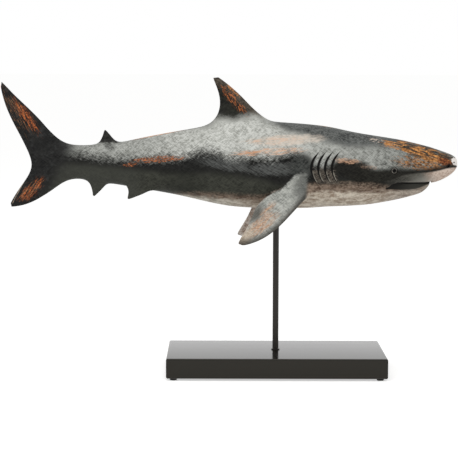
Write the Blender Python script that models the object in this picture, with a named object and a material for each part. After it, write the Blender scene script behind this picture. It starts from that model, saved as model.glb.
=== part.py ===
"""Shark figurine: a cast resin shark carried by a steel rod on a rounded base.

The shark is one casting, modelled as a cage of control points that a
subdivision surface rounds: body rings lofted along the spine, fins bridged
onto openings in the body, and gill slits, mouth, eyes and nostrils pressed in.
Metres, +Z up, +X towards the snout, Z = 0 under the pads.
"""

import math
from collections import namedtuple

import bmesh
import bpy
from mathutils import Matrix, Vector

# Clearance between pieces that touch
SEAT = 0.0003

# Pads
PAD_DIAMETER = 0.009
PAD_HEIGHT = 0.0025
PAD_INSET = 0.0095
PAD_CHAMFER = 0.0004
PAD_STEPS = 20

# Base
BASE_LENGTH = 0.286
BASE_DEPTH = 0.165
BASE_HEIGHT = 0.026
BASE_EDGE_RADIUS = 0.0022
BASE_EDGE_STEPS = 4
CUT_PAST = 0.002
SPANNER_ROOM = 0.002
RECESS_SPARE_DEPTH = 0.0028

# Rod with its two turned-down ends
ROD_DIAMETER = 0.008
ROD_EXPOSED = 0.186
ROD_IN_CASTING = 0.010
SHOULDER_WIDTH = 0.001
SPIGOT_DIAMETER = ROD_DIAMETER - 2 * SHOULDER_WIDTH
SPIGOT_BORE = SPIGOT_DIAMETER + 2 * SEAT
SPIGOT_SHORT_OF_INSERT = 0.001
SPIGOT_PAST_NUT = 0.002
END_CHAMFER = 0.0006

# Collar, washer, nut and insert; the insert shares the rod's bore in the casting
COLLAR_DIAMETER = 0.011
COLLAR_HEIGHT = 0.001
WASHER_DIAMETER = 0.018
WASHER_HEIGHT = 0.0016
NUT_ACROSS_FLATS = 0.010
NUT_HEIGHT = 0.005
INSERT_DIAMETER = ROD_DIAMETER
INSERT_LENGTH = 0.012

# Round pieces are turned in this many steps, the nut's flats in a multiple of six
TURN_STEPS = 32
NUT_STEPS = 24

# Spine lines of the shark, in its own frame: X along the body, heights above
# the line that it swims on
BACK_LINE = (
    (-0.2488, 0.0625), (-0.2317, 0.0418), (-0.2146, 0.0290), (-0.2013, 0.0284),
    (-0.1880, 0.0284), (-0.1436, 0.0326), (-0.1095, 0.0400), (-0.0674, 0.0481),
    (-0.0280, 0.0548), (0.0120, 0.0608), (0.0400, 0.0624), (0.0700, 0.0601),
    (0.1008, 0.0580), (0.1300, 0.0545), (0.1600, 0.0481), (0.1849, 0.0442),
    (0.2059, 0.0412), (0.2270, 0.0375), (0.2480, 0.0322), (0.2640, 0.0278),
    (0.2795, 0.0223), (0.2900, 0.0184), (0.2965, 0.0150), (0.3000, 0.0100),
)
BELLY_LINE = (
    (-0.2488, -0.0420), (-0.2317, -0.0312), (-0.2146, -0.0174), (-0.2013, -0.0158),
    (-0.1880, -0.0176), (-0.1436, -0.0246), (-0.1095, -0.0302), (-0.0674, -0.0376),
    (-0.0359, -0.0451), (-0.0043, -0.0520), (0.0300, -0.0546), (0.0650, -0.0548),
    (0.1008, -0.0547), (0.1300, -0.0526), (0.1600, -0.0517), (0.1849, -0.0504),
    (0.2059, -0.0470), (0.2270, -0.0421), (0.2480, -0.0360), (0.2580, -0.0322),
    (0.2630, -0.0238), (0.2640, -0.0208), (0.2700, -0.0200), (0.2795, -0.0160),
    (0.2900, -0.0101), (0.2965, -0.0044), (0.3000, 0.0018),
)
FLANK_LINE = (
    (-0.2488, 0.0020), (-0.2146, 0.0080), (-0.1400, 0.0040), (-0.0500, -0.0010),
    (0.0500, -0.0060), (0.1300, -0.0080), (0.2087, -0.0070), (0.2500, -0.0010),
    (0.2850, 0.0035), (0.3000, 0.0060),
)
HALF_WIDTH = (
    (-0.2488, 0.0036), (-0.2317, 0.0070), (-0.2146, 0.0110), (-0.1880, 0.0145),
    (-0.1400, 0.0215), (-0.0900, 0.0300), (-0.0400, 0.0385), (0.0100, 0.0450),
    (0.0600, 0.0482), (0.1100, 0.0482), (0.1600, 0.0445), (0.2087, 0.0385),
    (0.2400, 0.0325), (0.2650, 0.0260), (0.2830, 0.0190), (0.2930, 0.0122),
    (0.3000, 0.0050),
)

# Roundness of the body's section over and under the flank line
OVER_FLANK = 1.05
UNDER_FLANK = 0.90

# Body rings, each with this many points from the top down the near side
AROUND = 20
TOP = 0
UPPER_LIP = 6
JAW_LIP = 8
BOTTOM = AROUND // 2

# Stations along the body, chained forward and back from the first dorsal fin
DORSAL_REAR = -0.028
DORSAL_LENGTH = 0.080
SOCKET_SPAN = 0.0192
PECTORAL_LENGTH = 0.0293
GILLS_AHEAD = 0.0052
PELVIC_BEHIND = 0.071
PELVIC_LENGTH = 0.037
REAR_FINS_BEHIND = 0.011
REAR_FINS_LENGTH = 0.041
PEDUNCLE_BEHIND = 0.0133
TAIL_ROOT_LENGTH = 0.0475

DORSAL_FRONT = DORSAL_REAR + DORSAL_LENGTH
ROD_X = DORSAL_FRONT + SOCKET_SPAN / 2
PECTORAL_REAR = DORSAL_FRONT + SOCKET_SPAN
PECTORAL_FRONT = PECTORAL_REAR + PECTORAL_LENGTH
GILL_FIRST_X = PECTORAL_FRONT + GILLS_AHEAD
PELVIC_FRONT = DORSAL_REAR - PELVIC_BEHIND
PELVIC_REAR = PELVIC_FRONT - PELVIC_LENGTH
REAR_FINS_FRONT = PELVIC_REAR - REAR_FINS_BEHIND
REAR_FINS_REAR = REAR_FINS_FRONT - REAR_FINS_LENGTH
PEDUNCLE = REAR_FINS_REAR - PEDUNCLE_BEHIND
TAIL_SPLIT = PEDUNCLE - TAIL_ROOT_LENGTH

# Fin sections: where along the chord they are fullest, how round, how near the edges
# their first points stand, and the least thickness of a paired fin at its edges
BLADE_FULLEST = 0.75
BLADE_ROUNDNESS = 0.8
EDGE_PINCH = 0.6
PAIRED_EDGE = 0.35

# Tail, measured from the split
FORK = (-0.0114, 0.0010)
UPPER_LOBE_LEADING = (
    (0.0000, 0.0625), (-0.0177, 0.0800), (-0.0337, 0.0945), (-0.0450, 0.1065), (-0.0503, 0.1112),
)
UPPER_LOBE_TRAILING = (
    FORK, (-0.0195, 0.0268), (-0.0297, 0.0460), (-0.0404, 0.0665), (-0.0482, 0.0880),
    (-0.0515, 0.1045),
)
LOWER_LOBE_LEADING = (
    (0.0000, -0.0418), (-0.0132, -0.0488), (-0.0267, -0.0527), (-0.0387, -0.0535),
)
LOWER_LOBE_TRAILING = (
    FORK, (-0.0180, -0.0148), (-0.0267, -0.0270), (-0.0344, -0.0385), (-0.0396, -0.0488),
)
LOBE_HALF_ROOT = 0.0036
LOBE_HALF_TIP = 0.0014

# First dorsal fin, measured from its rear
DORSAL_LEADING = (
    (0.0683, 0.0695), (0.0565, 0.0800), (0.0453, 0.0918), (0.0342, 0.1020), (0.0220, 0.1117),
    (0.0130, 0.1178),
)
DORSAL_TRAILING = (
    (0.0088, 0.0642), (0.0146, 0.0757), (0.0150, 0.0890), (0.0122, 0.1005), (0.0088, 0.1095),
    (0.0058, 0.1170),
)
DORSAL_HALF_ROOT = 0.0068
DORSAL_HALF_TIP = 0.0016

# Second dorsal fin, over the front two thirds of the rear fins' stretch
SECOND_DORSAL_LEADING = (
    (0.0358, 0.0366), (0.0320, 0.0412), (0.0278, 0.0462), (0.0250, 0.0484),
)
SECOND_DORSAL_TRAILING = (
    (0.0178, 0.0334), (0.0208, 0.0390), (0.0222, 0.0442), (0.0232, 0.0476),
)
SECOND_DORSAL_HALF_ROOT = 0.0032
SECOND_DORSAL_HALF_TIP = 0.0012

# Anal fin, under the rear two thirds
ANAL_LEADING = (
    (0.0245, -0.0260), (0.0200, -0.0304), (0.0140, -0.0366), (0.0098, -0.0396),
)
ANAL_TRAILING = (
    (0.0042, -0.0228), (0.0065, -0.0285), (0.0078, -0.0345), (0.0080, -0.0383),
)
ANAL_HALF_ROOT = 0.0030
ANAL_HALF_TIP = 0.0012

# Pelvic fins, measured from their rear
PELVIC_LEADING = (
    (0.0275, -0.0335), (0.0180, -0.0370), (0.0090, -0.0405), (0.0045, -0.0420),
)
PELVIC_TRAILING = (
    (0.0035, -0.0300), (0.0038, -0.0340), (0.0028, -0.0380), (0.0020, -0.0412),
)
PELVIC_HALF_ROOT = 0.0028
PELVIC_HALF_TIP = 0.0012
PELVIC_ROOT_Y = 0.0125
PELVIC_ROOT_Z = -0.030
PELVIC_SPLAY = 0.45

# Pectoral fins, measured from their rear
PECTORAL_LEADING = (
    (0.0343, -0.0318), (0.0190, -0.0467), (0.0056, -0.0619), (-0.0071, -0.0750), (-0.0222, -0.0866),
    (-0.0372, -0.0942), (-0.0537, -0.0980),
)
PECTORAL_TRAILING = (
    (-0.0122, -0.0275), (-0.0312, -0.0385), (-0.0387, -0.0495), (-0.0427, -0.0620), (-0.0477, -0.0730),
    (-0.0547, -0.0840), (-0.0614, -0.0955),
)
PECTORAL_HALF_ROOT = 0.0062
PECTORAL_HALF_TIP = 0.0015
PECTORAL_ROOT_Y = 0.047
PECTORAL_ROOT_Z = -0.029
PECTORAL_SPLAY = 0.31

# Gill slits
GILL_COUNT = 4
GILL_PITCH = 0.0089
GILL_HALF_WIDTH = 0.0011
GILL_DEPTH = 0.0036
GILL_BOW = 0.0080
GILL_BOW_LIMIT = 0.0100
GILL_MIDDLE_POINT = 4.6
GILL_HALF_POINTS = 1.3
BOW_STEP = 0.2

# Mouth: a U-shaped cleft between the snout and the jaw
NECK_RINGS = 3
MOUTH_STATIONS = (0.2010, 0.2110, 0.2220, 0.2325, 0.2440, 0.2550, 0.2630)
MOUTH_CORNER = 0.2087
CORNER_LENGTH = 0.006
JAW_GAP = 0.0010
LIP_STEP = 0.0016
MOUTH_BACK = MOUTH_STATIONS[-1] + JAW_GAP
MOUTH_LIP = MOUTH_BACK + LIP_STEP
LIP_OVERHANG = 0.0018
LIP_CREASE = 0.8
CHIN_CREASE = 0.5
MOUTH_CLEFT = 0.0055
CLEFT_SHUT_RISE = 0.5
CLEFT_OPEN_RISE = 0.1
LIP_SWELL = 0.95
LIP_SWELL_RISE = 0.35
CHIN_WIDTH = 0.66
CHIN_RISE = 0.24
LIP_LINE = (
    (0.1520, -0.0240), (0.2010, -0.0246), (0.2087, -0.0243), (0.2135, -0.0213), (0.2180, -0.0196),
    (0.2293, -0.0187), (0.2700, -0.0186),
)
JAW_LIP_LINE = (
    (0.1520, -0.0280), (0.2010, -0.0270), (0.2110, -0.0264), (0.2164, -0.0272), (0.2260, -0.0276),
    (0.2370, -0.0272), (0.2450, -0.0262), (0.2550, -0.0238), (0.2640, -0.0206),
)
JAW_HALF_WIDTH = (
    (0.1520, 0.0430), (0.1880, 0.0395), (0.2087, 0.0358), (0.2200, 0.0320), (0.2330, 0.0265),
    (0.2460, 0.0200), (0.2560, 0.0142), (0.2640, 0.0070),
)
SNOUT_STATIONS = (0.2735, 0.2828, 0.2905, 0.2962, 0.3000)
SNOUT_SPREAD_END = 0.2870
SNOUT_UNDER_WIDTH = 0.74
SNOUT_UNDER_RISE = 0.2
SNOUT_SQUARENESS = 0.2

# Head rings: their points stand this far apart, down to the upper lip
HEAD_STEP = math.radians(25.0)

# Eyes and nostrils, as square rings of (share of the radius, lift) that round themselves
EYE_AHEAD_OF_CORNER = 0.0066
EYE_Z = -0.0042
EYE_RADIUS = 0.0033
EYE_RINGS = ((1.30, 0.0002), (1.05, 0.0010), (0.80, -0.0012), (0.45, 0.0006))
NOSTRIL_BEHIND_TIP = 0.0133
NOSTRIL_Z = 0.0015
NOSTRIL_RADIUS = 0.00146
NOSTRIL_RINGS = ((1.30, 0.0), (0.70, -0.0022))
FIRST_INSET = 0.1

EYE = (MOUTH_CORNER + EYE_AHEAD_OF_CORNER, EYE_Z)
NOSTRIL = (SNOUT_STATIONS[-1] - NOSTRIL_BEHIND_TIP, NOSTRIL_Z)

# One fin of a pair: outlines in the side view, and how the blade hangs
Paired = namedtuple("Paired", "leading trailing steps half_root half_tip root_y root_z splay")


def clear_scene():
    for item in list(bpy.data.objects):
        bpy.data.objects.remove(item, do_unlink=True)


def material(name, colour, roughness, metallic):
    finish = bpy.data.materials.new(name)
    finish.use_nodes = True
    shader = finish.node_tree.nodes["Principled BSDF"]
    shader.inputs["Base Color"].default_value = (*colour, 1.0)
    shader.inputs["Roughness"].default_value = roughness
    shader.inputs["Metallic"].default_value = metallic
    return finish


def place(name, bm, finish, location=(0.0, 0.0, 0.0), sharp=35.0):
    """Make a named object from a bmesh, smooth apart from edges over so many degrees."""
    bmesh.ops.recalc_face_normals(bm, faces=bm.faces)
    mesh = bpy.data.meshes.new(name)
    bm.to_mesh(mesh)
    bm.free()
    mesh.shade_smooth()
    mesh.set_sharp_from_angle(angle=math.radians(sharp))
    mesh.materials.append(finish)
    item = bpy.data.objects.new(name, mesh)
    item.location = location
    bpy.context.collection.objects.link(item)
    return item


def spread(first, last, steps):
    """Evenly spaced values from first to last, both included."""
    return [first + (last - first) * i / steps for i in range(steps + 1)]


def height(line, x):
    """Read a smooth curve through (x, value) points at one x."""
    x = min(max(x, line[0][0]), line[-1][0])
    i = max(j for j in range(len(line) - 1) if line[j][0] <= x)
    slopes = []
    for j in (i, i + 1):
        before = line[max(j - 1, 0)]
        after = line[min(j + 1, len(line) - 1)]
        slopes.append((after[1] - before[1]) / (after[0] - before[0]))
    (x0, v0), (x1, v1) = line[i], line[i + 1]
    span = x1 - x0
    t = (x - x0) / span
    rise = (1 + 2 * t) * (1 - t) ** 2 * v0 + t * t * (3 - 2 * t) * v1
    return rise + span * (t * (1 - t) ** 2 * slopes[0] - t * t * (1 - t) * slopes[1])


def along(outline, t):
    """Point at share t of a Catmull-Rom curve through the outline's points."""
    position = t * (len(outline) - 1)
    i = min(int(position), len(outline) - 2)
    f = position - i
    p = [outline[min(max(i + k, 0), len(outline) - 1)] for k in (-1, 0, 1, 2)]
    weights = (
        -0.5 * f + f * f - 0.5 * f ** 3,
        1 - 2.5 * f * f + 1.5 * f ** 3,
        0.5 * f + 2 * f * f - 1.5 * f ** 3,
        -0.5 * f * f + 0.5 * f ** 3,
    )
    return [sum(w * q[axis] for w, q in zip(weights, p)) for axis in (0, 1)]


def body_point(x, point):
    """Half-section (y, z) of the plain body at one point of a ring, top to bottom."""
    angle = math.pi * point / BOTTOM
    top, flank, bottom = height(BACK_LINE, x), height(FLANK_LINE, x), height(BELLY_LINE, x)
    width = height(HALF_WIDTH, x)
    if angle < math.pi / 2:
        return width * math.sin(angle) ** OVER_FLANK, flank + (top - flank) * math.cos(angle)
    return width * math.sin(angle) ** UNDER_FLANK, flank + (flank - bottom) * math.cos(angle)


def head_point(x, point):
    """Half-section (y, z) of the head at the mouth: lip, cleft and jaw are lines of it."""
    top, flank, bottom = height(BACK_LINE, x), height(FLANK_LINE, x), height(BELLY_LINE, x)
    width, lip, jaw = height(HALF_WIDTH, x), height(LIP_LINE, x), height(JAW_HALF_WIDTH, x)
    if point < UPPER_LIP - 1:
        angle = HEAD_STEP * point
        rise = top - flank if angle < math.pi / 2 else flank - lip
        return width * math.sin(angle), flank + rise * math.cos(angle)
    opened = min(max((x - MOUTH_CORNER) / CORNER_LENGTH, 0.0), 1.0)
    jaw_lip = height(JAW_LIP_LINE, x)
    cleft_rise = CLEFT_SHUT_RISE + (CLEFT_OPEN_RISE - CLEFT_SHUT_RISE) * opened
    swell = max(LIP_SWELL * width, jaw + LIP_OVERHANG)
    section = {
        UPPER_LIP - 1: (swell, lip + LIP_SWELL_RISE * (flank - lip)),
        UPPER_LIP: (jaw + LIP_OVERHANG * opened, lip),
        UPPER_LIP + 1: (jaw - MOUTH_CLEFT * opened, lip + (jaw_lip - lip) * cleft_rise),
        JAW_LIP: (jaw, jaw_lip),
        JAW_LIP + 1: (CHIN_WIDTH * jaw, bottom + CHIN_RISE * (jaw_lip - bottom)),
        BOTTOM: (0.0, bottom),
    }
    return section[point]


def cleft_point(point, depth):
    """Half-section where the cleft crosses the middle, behind the lip, in front of the jaw."""
    if point <= UPPER_LIP:
        return head_point(MOUTH_BACK, point)
    share = (BOTTOM - point) / (BOTTOM - UPPER_LIP)
    reach = height(JAW_HALF_WIDTH, MOUTH_BACK) + LIP_OVERHANG
    return reach * share, height(LIP_LINE, MOUTH_BACK) + depth


def snout_point(x, point):
    """Half-section of the snout, flatter underneath, ahead of the mouth."""
    top, flank, under = height(BACK_LINE, x), height(FLANK_LINE, x), height(BELLY_LINE, x)
    width = height(HALF_WIDTH, x)
    spread_out = min((x - MOUTH_LIP) / (SNOUT_SPREAD_END - MOUTH_LIP), 1.0)
    if point < UPPER_LIP:
        angle = HEAD_STEP * point
        rise = top - flank if angle < math.pi / 2 else flank - under
        squared = 1 - SNOUT_SQUARENESS * spread_out
        return width * math.sin(angle) ** squared, flank + rise * math.cos(angle)
    behind = height(JAW_HALF_WIDTH, MOUTH_BACK) + LIP_OVERHANG
    reach = behind + (SNOUT_UNDER_WIDTH * width - behind) * spread_out
    share = (BOTTOM - point) / (BOTTOM - UPPER_LIP)
    return reach * share, under + SNOUT_UNDER_RISE * (flank - under) * share ** 3


def half_section(x, point):
    neck = neck_stations()[0]
    if x <= neck:
        return body_point(x, point)
    if x < MOUTH_CORNER:
        share = (x - neck) / (MOUTH_CORNER - neck)
        plain, head = body_point(x, point), head_point(x, point)
        return tuple(a + (b - a) * share for a, b in zip(plain, head))
    if x < MOUTH_BACK:
        return head_point(x, point)
    if x == MOUTH_BACK:
        return cleft_point(point, MOUTH_CLEFT)
    return snout_point(x, point)


def gill_rings():
    """(x at mid flank, bow share, depth) of the three rings that shape each slit."""
    rings = []
    for slit in range(GILL_COUNT):
        middle = GILL_FIRST_X + GILL_PITCH * slit
        rings.append((middle - GILL_HALF_WIDTH, 1.0, 0.0))
        rings.append((middle, 1.0, GILL_DEPTH))
        rings.append((middle + GILL_HALF_WIDTH, 1.0, 0.0))
    return rings


def neck_stations():
    """Rings between the last gill slit and the mouth."""
    behind = GILL_FIRST_X + GILL_PITCH * (GILL_COUNT - 1) + GILL_HALF_WIDTH
    return spread(behind, MOUTH_STATIONS[0], NECK_RINGS + 1)[1:-1]


def body_stations():
    """Every ring of the body from tail to snout as (x, bow share, groove depth)."""
    plain = spread(TAIL_SPLIT, PEDUNCLE, 3)
    plain += spread(REAR_FINS_REAR, REAR_FINS_FRONT, 3) + spread(PELVIC_REAR, PELVIC_FRONT, 2)
    plain += spread(PELVIC_FRONT, DORSAL_REAR, 3)[1:-1]
    plain += spread(DORSAL_REAR, DORSAL_FRONT, 4) + [ROD_X]
    stations = [(x, 0.0, 0.0) for x in plain]
    pectoral = spread(PECTORAL_REAR, PECTORAL_FRONT, 3)
    stations += [(x, BOW_STEP * i, 0.0) for i, x in enumerate(pectoral)]
    stations += gill_rings()
    stations += [(x, 1 - i / (NECK_RINGS - 1), 0.0) for i, x in enumerate(neck_stations())]
    front = [*MOUTH_STATIONS, MOUTH_BACK, MOUTH_LIP, *SNOUT_STATIONS]
    return stations + [(x, 0.0, 0.0) for x in front]


def ring_points(station):
    """The points of one body ring, mirrored about the middle plane."""
    x, bow_share, groove = station
    half = []
    for point in range(BOTTOM + 1):
        away = abs(point - GILL_MIDDLE_POINT) / GILL_HALF_POINTS
        place_x = x + bow_share * min(GILL_BOW * away ** 2, GILL_BOW_LIMIT)
        y, z = half_section(place_x, point)
        y -= groove * max(1 - away ** 2, 0.0)
        half.append((place_x, y, z))
    near = [Vector((px, -py, pz)) for px, py, pz in half]
    far = [Vector(half[AROUND - point]) for point in range(BOTTOM + 1, AROUND)]
    return near + far


def station_at(stations, x):
    """Number of the ring that stands nearest to x."""
    return min(range(len(stations)), key=lambda i: abs(stations[i][0] - x))


def bridge(bm, first, second):
    """Join two closed loops with the same number of points."""
    for i, point in enumerate(first):
        after = (i + 1) % len(first)
        bm.faces.new((point, first[after], second[after], second[i]))


def blade_profile(share):
    """Thickness of a fin along its chord: full ahead of the middle, thin behind."""
    return max(math.sin(math.pi * share ** BLADE_FULLEST), 0.0) ** BLADE_ROUNDNESS


def moved(outline, x):
    """An outline measured from a station, at its place on the body."""
    return [(x + ahead, z) for ahead, z in outline]


def middle_blade(front, rear, half_thickness, sides):
    """Section of a fin in the middle plane: leading point, near side, trailing point, far side."""
    front, rear = Vector((front[0], 0.0, front[1])), Vector((rear[0], 0.0, rear[1]))
    shares = [(i + 0.5) / sides for i in range(sides)]
    shares[0] *= EDGE_PINCH
    shares[-1] = 1 - (1 - shares[-1]) * EDGE_PINCH
    near = []
    for share in shares:
        offset = Vector((0.0, -half_thickness * blade_profile(share), 0.0))
        near.append(front.lerp(rear, share) + offset)
    far = [Vector((p.x, -p.y, p.z)) for p in reversed(near)]
    return [front, *near, rear, *far]


def cap(bm, loop, middle):
    """Close a blade's tip with faces that join its two sides."""
    if middle:
        side = len(loop) // 2 - 1
        near, far = loop[1:side + 1], loop[side + 2:][::-1]
        bm.faces.new((loop[0], near[0], far[0]))
        bm.faces.new((loop[side + 1], far[-1], near[-1]))
    else:
        side = len(loop) // 2
        near, far = loop[:side], loop[side:][::-1]
    for i in range(len(near) - 1):
        bm.faces.new((near[i], near[i + 1], far[i + 1], far[i]))


def middle_fin(bm, root, leading, trailing, steps, half_root, half_tip):
    """Loft a fin of the middle plane from its root loop to its tip."""
    loop = root
    sides = len(root) // 2 - 1
    for i in range(steps + 1):
        t = i / steps
        half = half_root + (half_tip - half_root) * t
        points = middle_blade(along(leading, t), along(trailing, t), half, sides)
        following = [bm.verts.new(p) for p in points]
        bridge(bm, loop, following)
        loop = following
    cap(bm, loop, True)


def paired_fin(bm, root, fin, side):
    """Loft one fin of a pair: a blade that leans outward as it hangs."""
    outward = Vector((0.0, side, fin.splay)).normalized()
    loop = root
    count = len(root) // 2
    for i in range(fin.steps + 1):
        t = i / fin.steps
        half = fin.half_root + (fin.half_tip - fin.half_root) * t
        ends = []
        for x, z in (along(fin.leading, t), along(fin.trailing, t)):
            ends.append(Vector((x, side * (fin.root_y + fin.splay * (fin.root_z - z)), z)))
        outer, inner = [], []
        for k in range(count):
            share = k / (count - 1)
            middle = ends[0].lerp(ends[1], share)
            lift = half * max(blade_profile(share), PAIRED_EDGE)
            outer.append(middle + outward * lift)
            inner.append(middle - outward * lift)
        following = [bm.verts.new(p) for p in outer + inner[::-1]]
        bridge(bm, loop, following)
        loop = following
    cap(bm, loop, False)


def middle_root(rings, first, last, line):
    """Loop round the faces beside the top or bottom line, leading point first."""
    near = line + 1 if line == TOP else line - 1
    far = (line - 1) % AROUND if line == TOP else line + 1
    numbers = range(last, first - 1, -1)
    loop = [rings[last][line]] + [rings[i][near] for i in numbers]
    return loop + [rings[first][line]] + [rings[i][far] for i in reversed(numbers)]


def paired_root(rings, first, last, upper, side):
    """Loop round a strip of flank faces, its upper edge first."""
    numbers = range(last, first - 1, -1)
    pair = (upper, upper + 1) if side < 0 else (AROUND - upper, AROUND - upper - 1)
    return [rings[i][pair[0]] for i in numbers] + [rings[i][pair[1]] for i in reversed(numbers)]


def open_faces(stations):
    """Faces that the fins and the rod's socket leave out, as (strip, point) pairs."""
    opened = set()

    def leave(rear, front, points):
        for strip in range(station_at(stations, rear), station_at(stations, front)):
            opened.update((strip, point % AROUND) for point in points)

    rear_pitch = (REAR_FINS_FRONT - REAR_FINS_REAR) / 3
    leave(DORSAL_REAR, DORSAL_FRONT, (-1, 0))
    leave(REAR_FINS_REAR + rear_pitch, REAR_FINS_FRONT, (-1, 0))
    leave(REAR_FINS_REAR, REAR_FINS_FRONT - rear_pitch, (BOTTOM - 1, BOTTOM))
    leave(DORSAL_FRONT, PECTORAL_REAR, (BOTTOM - 1, BOTTOM))
    for point in (8, AROUND - 9):
        leave(PELVIC_REAR, PELVIC_FRONT, (point,))
    for point in (6, AROUND - 7):
        leave(PECTORAL_REAR, GILL_FIRST_X - GILL_HALF_WIDTH, (point,))
    return opened


def add_tail(bm, ring):
    """Split the last body ring at the fork and loft the two lobes."""
    middle = AROUND // 4
    fork = bm.verts.new((TAIL_SPLIT + FORK[0], 0.0, FORK[1]))
    upper = ring[:middle + 1] + [fork] + ring[-middle:]
    near, far = ring[middle:BOTTOM][::-1], ring[BOTTOM + 1:-middle + 1][::-1]
    lower = [ring[BOTTOM], *near, fork, *far]
    for root, leading, trailing, steps in (
        (upper, UPPER_LOBE_LEADING, UPPER_LOBE_TRAILING, 6),
        (lower, LOWER_LOBE_LEADING, LOWER_LOBE_TRAILING, 4),
    ):
        leading, trailing = moved(leading, TAIL_SPLIT), moved(trailing, TAIL_SPLIT)
        loop = root
        for i in range(1, steps + 1):
            t = i / steps
            half = LOBE_HALF_ROOT + (LOBE_HALF_TIP - LOBE_HALF_ROOT) * t
            points = middle_blade(along(leading, t), along(trailing, t), half, middle)
            following = [bm.verts.new(p) for p in points]
            bridge(bm, loop, following)
            loop = following
        cap(bm, loop, True)


def add_socket(bm, rings, stations, crease):
    """Sink the rod's round socket into the belly from the opening left for it."""
    centre = station_at(stations, ROD_X)
    front, rear = rings[centre + 1], rings[centre - 1]
    edge = [front[BOTTOM], front[BOTTOM - 1], rings[centre][BOTTOM - 1], rear[BOTTOM - 1],
            rear[BOTTOM], rear[BOTTOM + 1], rings[centre][BOTTOM + 1], front[BOTTOM + 1]]
    bm.verts.remove(rings[centre][BOTTOM])
    radius = (ROD_DIAMETER / 2 + SEAT) / math.cos(math.pi / len(edge))
    loop = edge
    for z in (height(BELLY_LINE, ROD_X), socket_top()):
        following = []
        for i in range(len(edge)):
            angle = -2 * math.pi * i / len(edge)
            x, y = ROD_X + radius * math.cos(angle), radius * math.sin(angle)
            following.append(bm.verts.new((x, y, z)))
        bridge(bm, loop, following)
        for i, point in enumerate(following):
            bm.edges.get((point, following[i - 1]))[crease] = 1.0
        loop = following
    bm.faces.new(loop)


def crease_lips(bm, rings, stations, crease):
    """Keep both lips crisp along the sides of the mouth and across its front."""
    first = station_at(stations, MOUTH_STATIONS[1])
    chin, lip = station_at(stations, MOUTH_STATIONS[-1]), station_at(stations, MOUTH_LIP)

    def sharpen(a, b, amount):
        bm.edges.get((a, b))[crease] = amount

    for point, last in ((UPPER_LIP, lip), (JAW_LIP, chin)):
        for i in range(first, last):
            sharpen(rings[i][point], rings[i + 1][point], LIP_CREASE)
            sharpen(rings[i][-point], rings[i + 1][-point], LIP_CREASE)
    front = ((rings[lip], UPPER_LIP, LIP_CREASE), (rings[chin], JAW_LIP, CHIN_CREASE))
    for ring, point, amount in front:
        for i in range(point, AROUND - point):
            sharpen(ring[i], ring[i + 1], amount)


def press_in(bm, centre, radius, side, shape):
    """Sink or raise square rings, which round themselves, into the face nearest a point."""
    target = Vector((centre[0], 0.0, centre[1]))

    def distance(face):
        middle = face.calc_center_median()
        if middle.y * side <= 0 or len(face.verts) != 4:
            return 1.0
        return math.hypot(middle.x - target.x, middle.z - target.z)

    face = min(bm.faces, key=distance)
    face.normal_update()
    normal = face.normal.copy()
    if normal.y * side < 0:
        normal = -normal
    along_x = (Vector((1.0, 0.0, 0.0)) - normal * normal.x).normalized()
    upward = normal.cross(along_x)
    if upward.z < 0:
        upward = -upward
    middle = face.calc_center_median()
    middle += along_x * (target.x - middle.x) + upward * (target.z - middle.z)
    for share, lift in shape:
        bmesh.ops.inset_individual(bm, faces=[face], thickness=radius * FIRST_INSET)
        for point in face.verts:
            right = 1.0 if (point.co - middle).dot(along_x) > 0 else -1.0
            up = 1.0 if (point.co - middle).dot(upward) > 0 else -1.0
            reach = radius * share
            point.co = middle + along_x * right * reach + upward * up * reach + normal * lift


def socket_top():
    """Height of the socket's end in the shark's own frame."""
    return height(BELLY_LINE, ROD_X) + ROD_IN_CASTING + SEAT + INSERT_LENGTH + SEAT


def shark_height():
    """Height of the line that the shark swims on, as the rod carries it."""
    return base_top() + SEAT + COLLAR_HEIGHT + SEAT + ROD_EXPOSED - height(BELLY_LINE, ROD_X)


def base_bottom():
    return PAD_HEIGHT + SEAT


def base_top():
    return base_bottom() + BASE_HEIGHT


def nut_bottom():
    """The nut and the rod's end stand clear of the base's underside."""
    return base_bottom() + RECESS_SPARE_DEPTH + SPIGOT_PAST_NUT


def washer_top():
    return nut_bottom() + NUT_HEIGHT + SEAT + WASHER_HEIGHT


def build_shark(finish):
    bm = bmesh.new()
    crease = bm.edges.layers.float.new("crease_edge")
    stations = body_stations()
    rings = [[bm.verts.new(p) for p in ring_points(station)] for station in stations]
    opened = open_faces(stations)
    for strip in range(len(rings) - 1):
        for point in range(AROUND):
            if (strip, point) in opened:
                continue
            after = (point + 1) % AROUND
            a, b = rings[strip], rings[strip + 1]
            bm.faces.new((a[point], a[after], b[after], b[point]))
    bm.faces.new(rings[-1])
    add_tail(bm, rings[0])
    add_fins(bm, rings, stations)
    add_socket(bm, rings, stations, crease)
    crease_lips(bm, rings, stations, crease)
    loose = [v for v in bm.verts if not v.link_faces]
    bmesh.ops.delete(bm, geom=loose, context="VERTS")
    bmesh.ops.recalc_face_normals(bm, faces=bm.faces)
    for side in (-1, 1):
        press_in(bm, EYE, EYE_RADIUS, side, EYE_RINGS)
        press_in(bm, NOSTRIL, NOSTRIL_RADIUS, side, NOSTRIL_RINGS)
    shark = place("shark", bm, finish, (0.0, 0.0, shark_height()), 180.0)
    rounding = shark.modifiers.new("rounding", "SUBSURF")
    rounding.levels = 1
    rounding.render_levels = 1
    return shark


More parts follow.
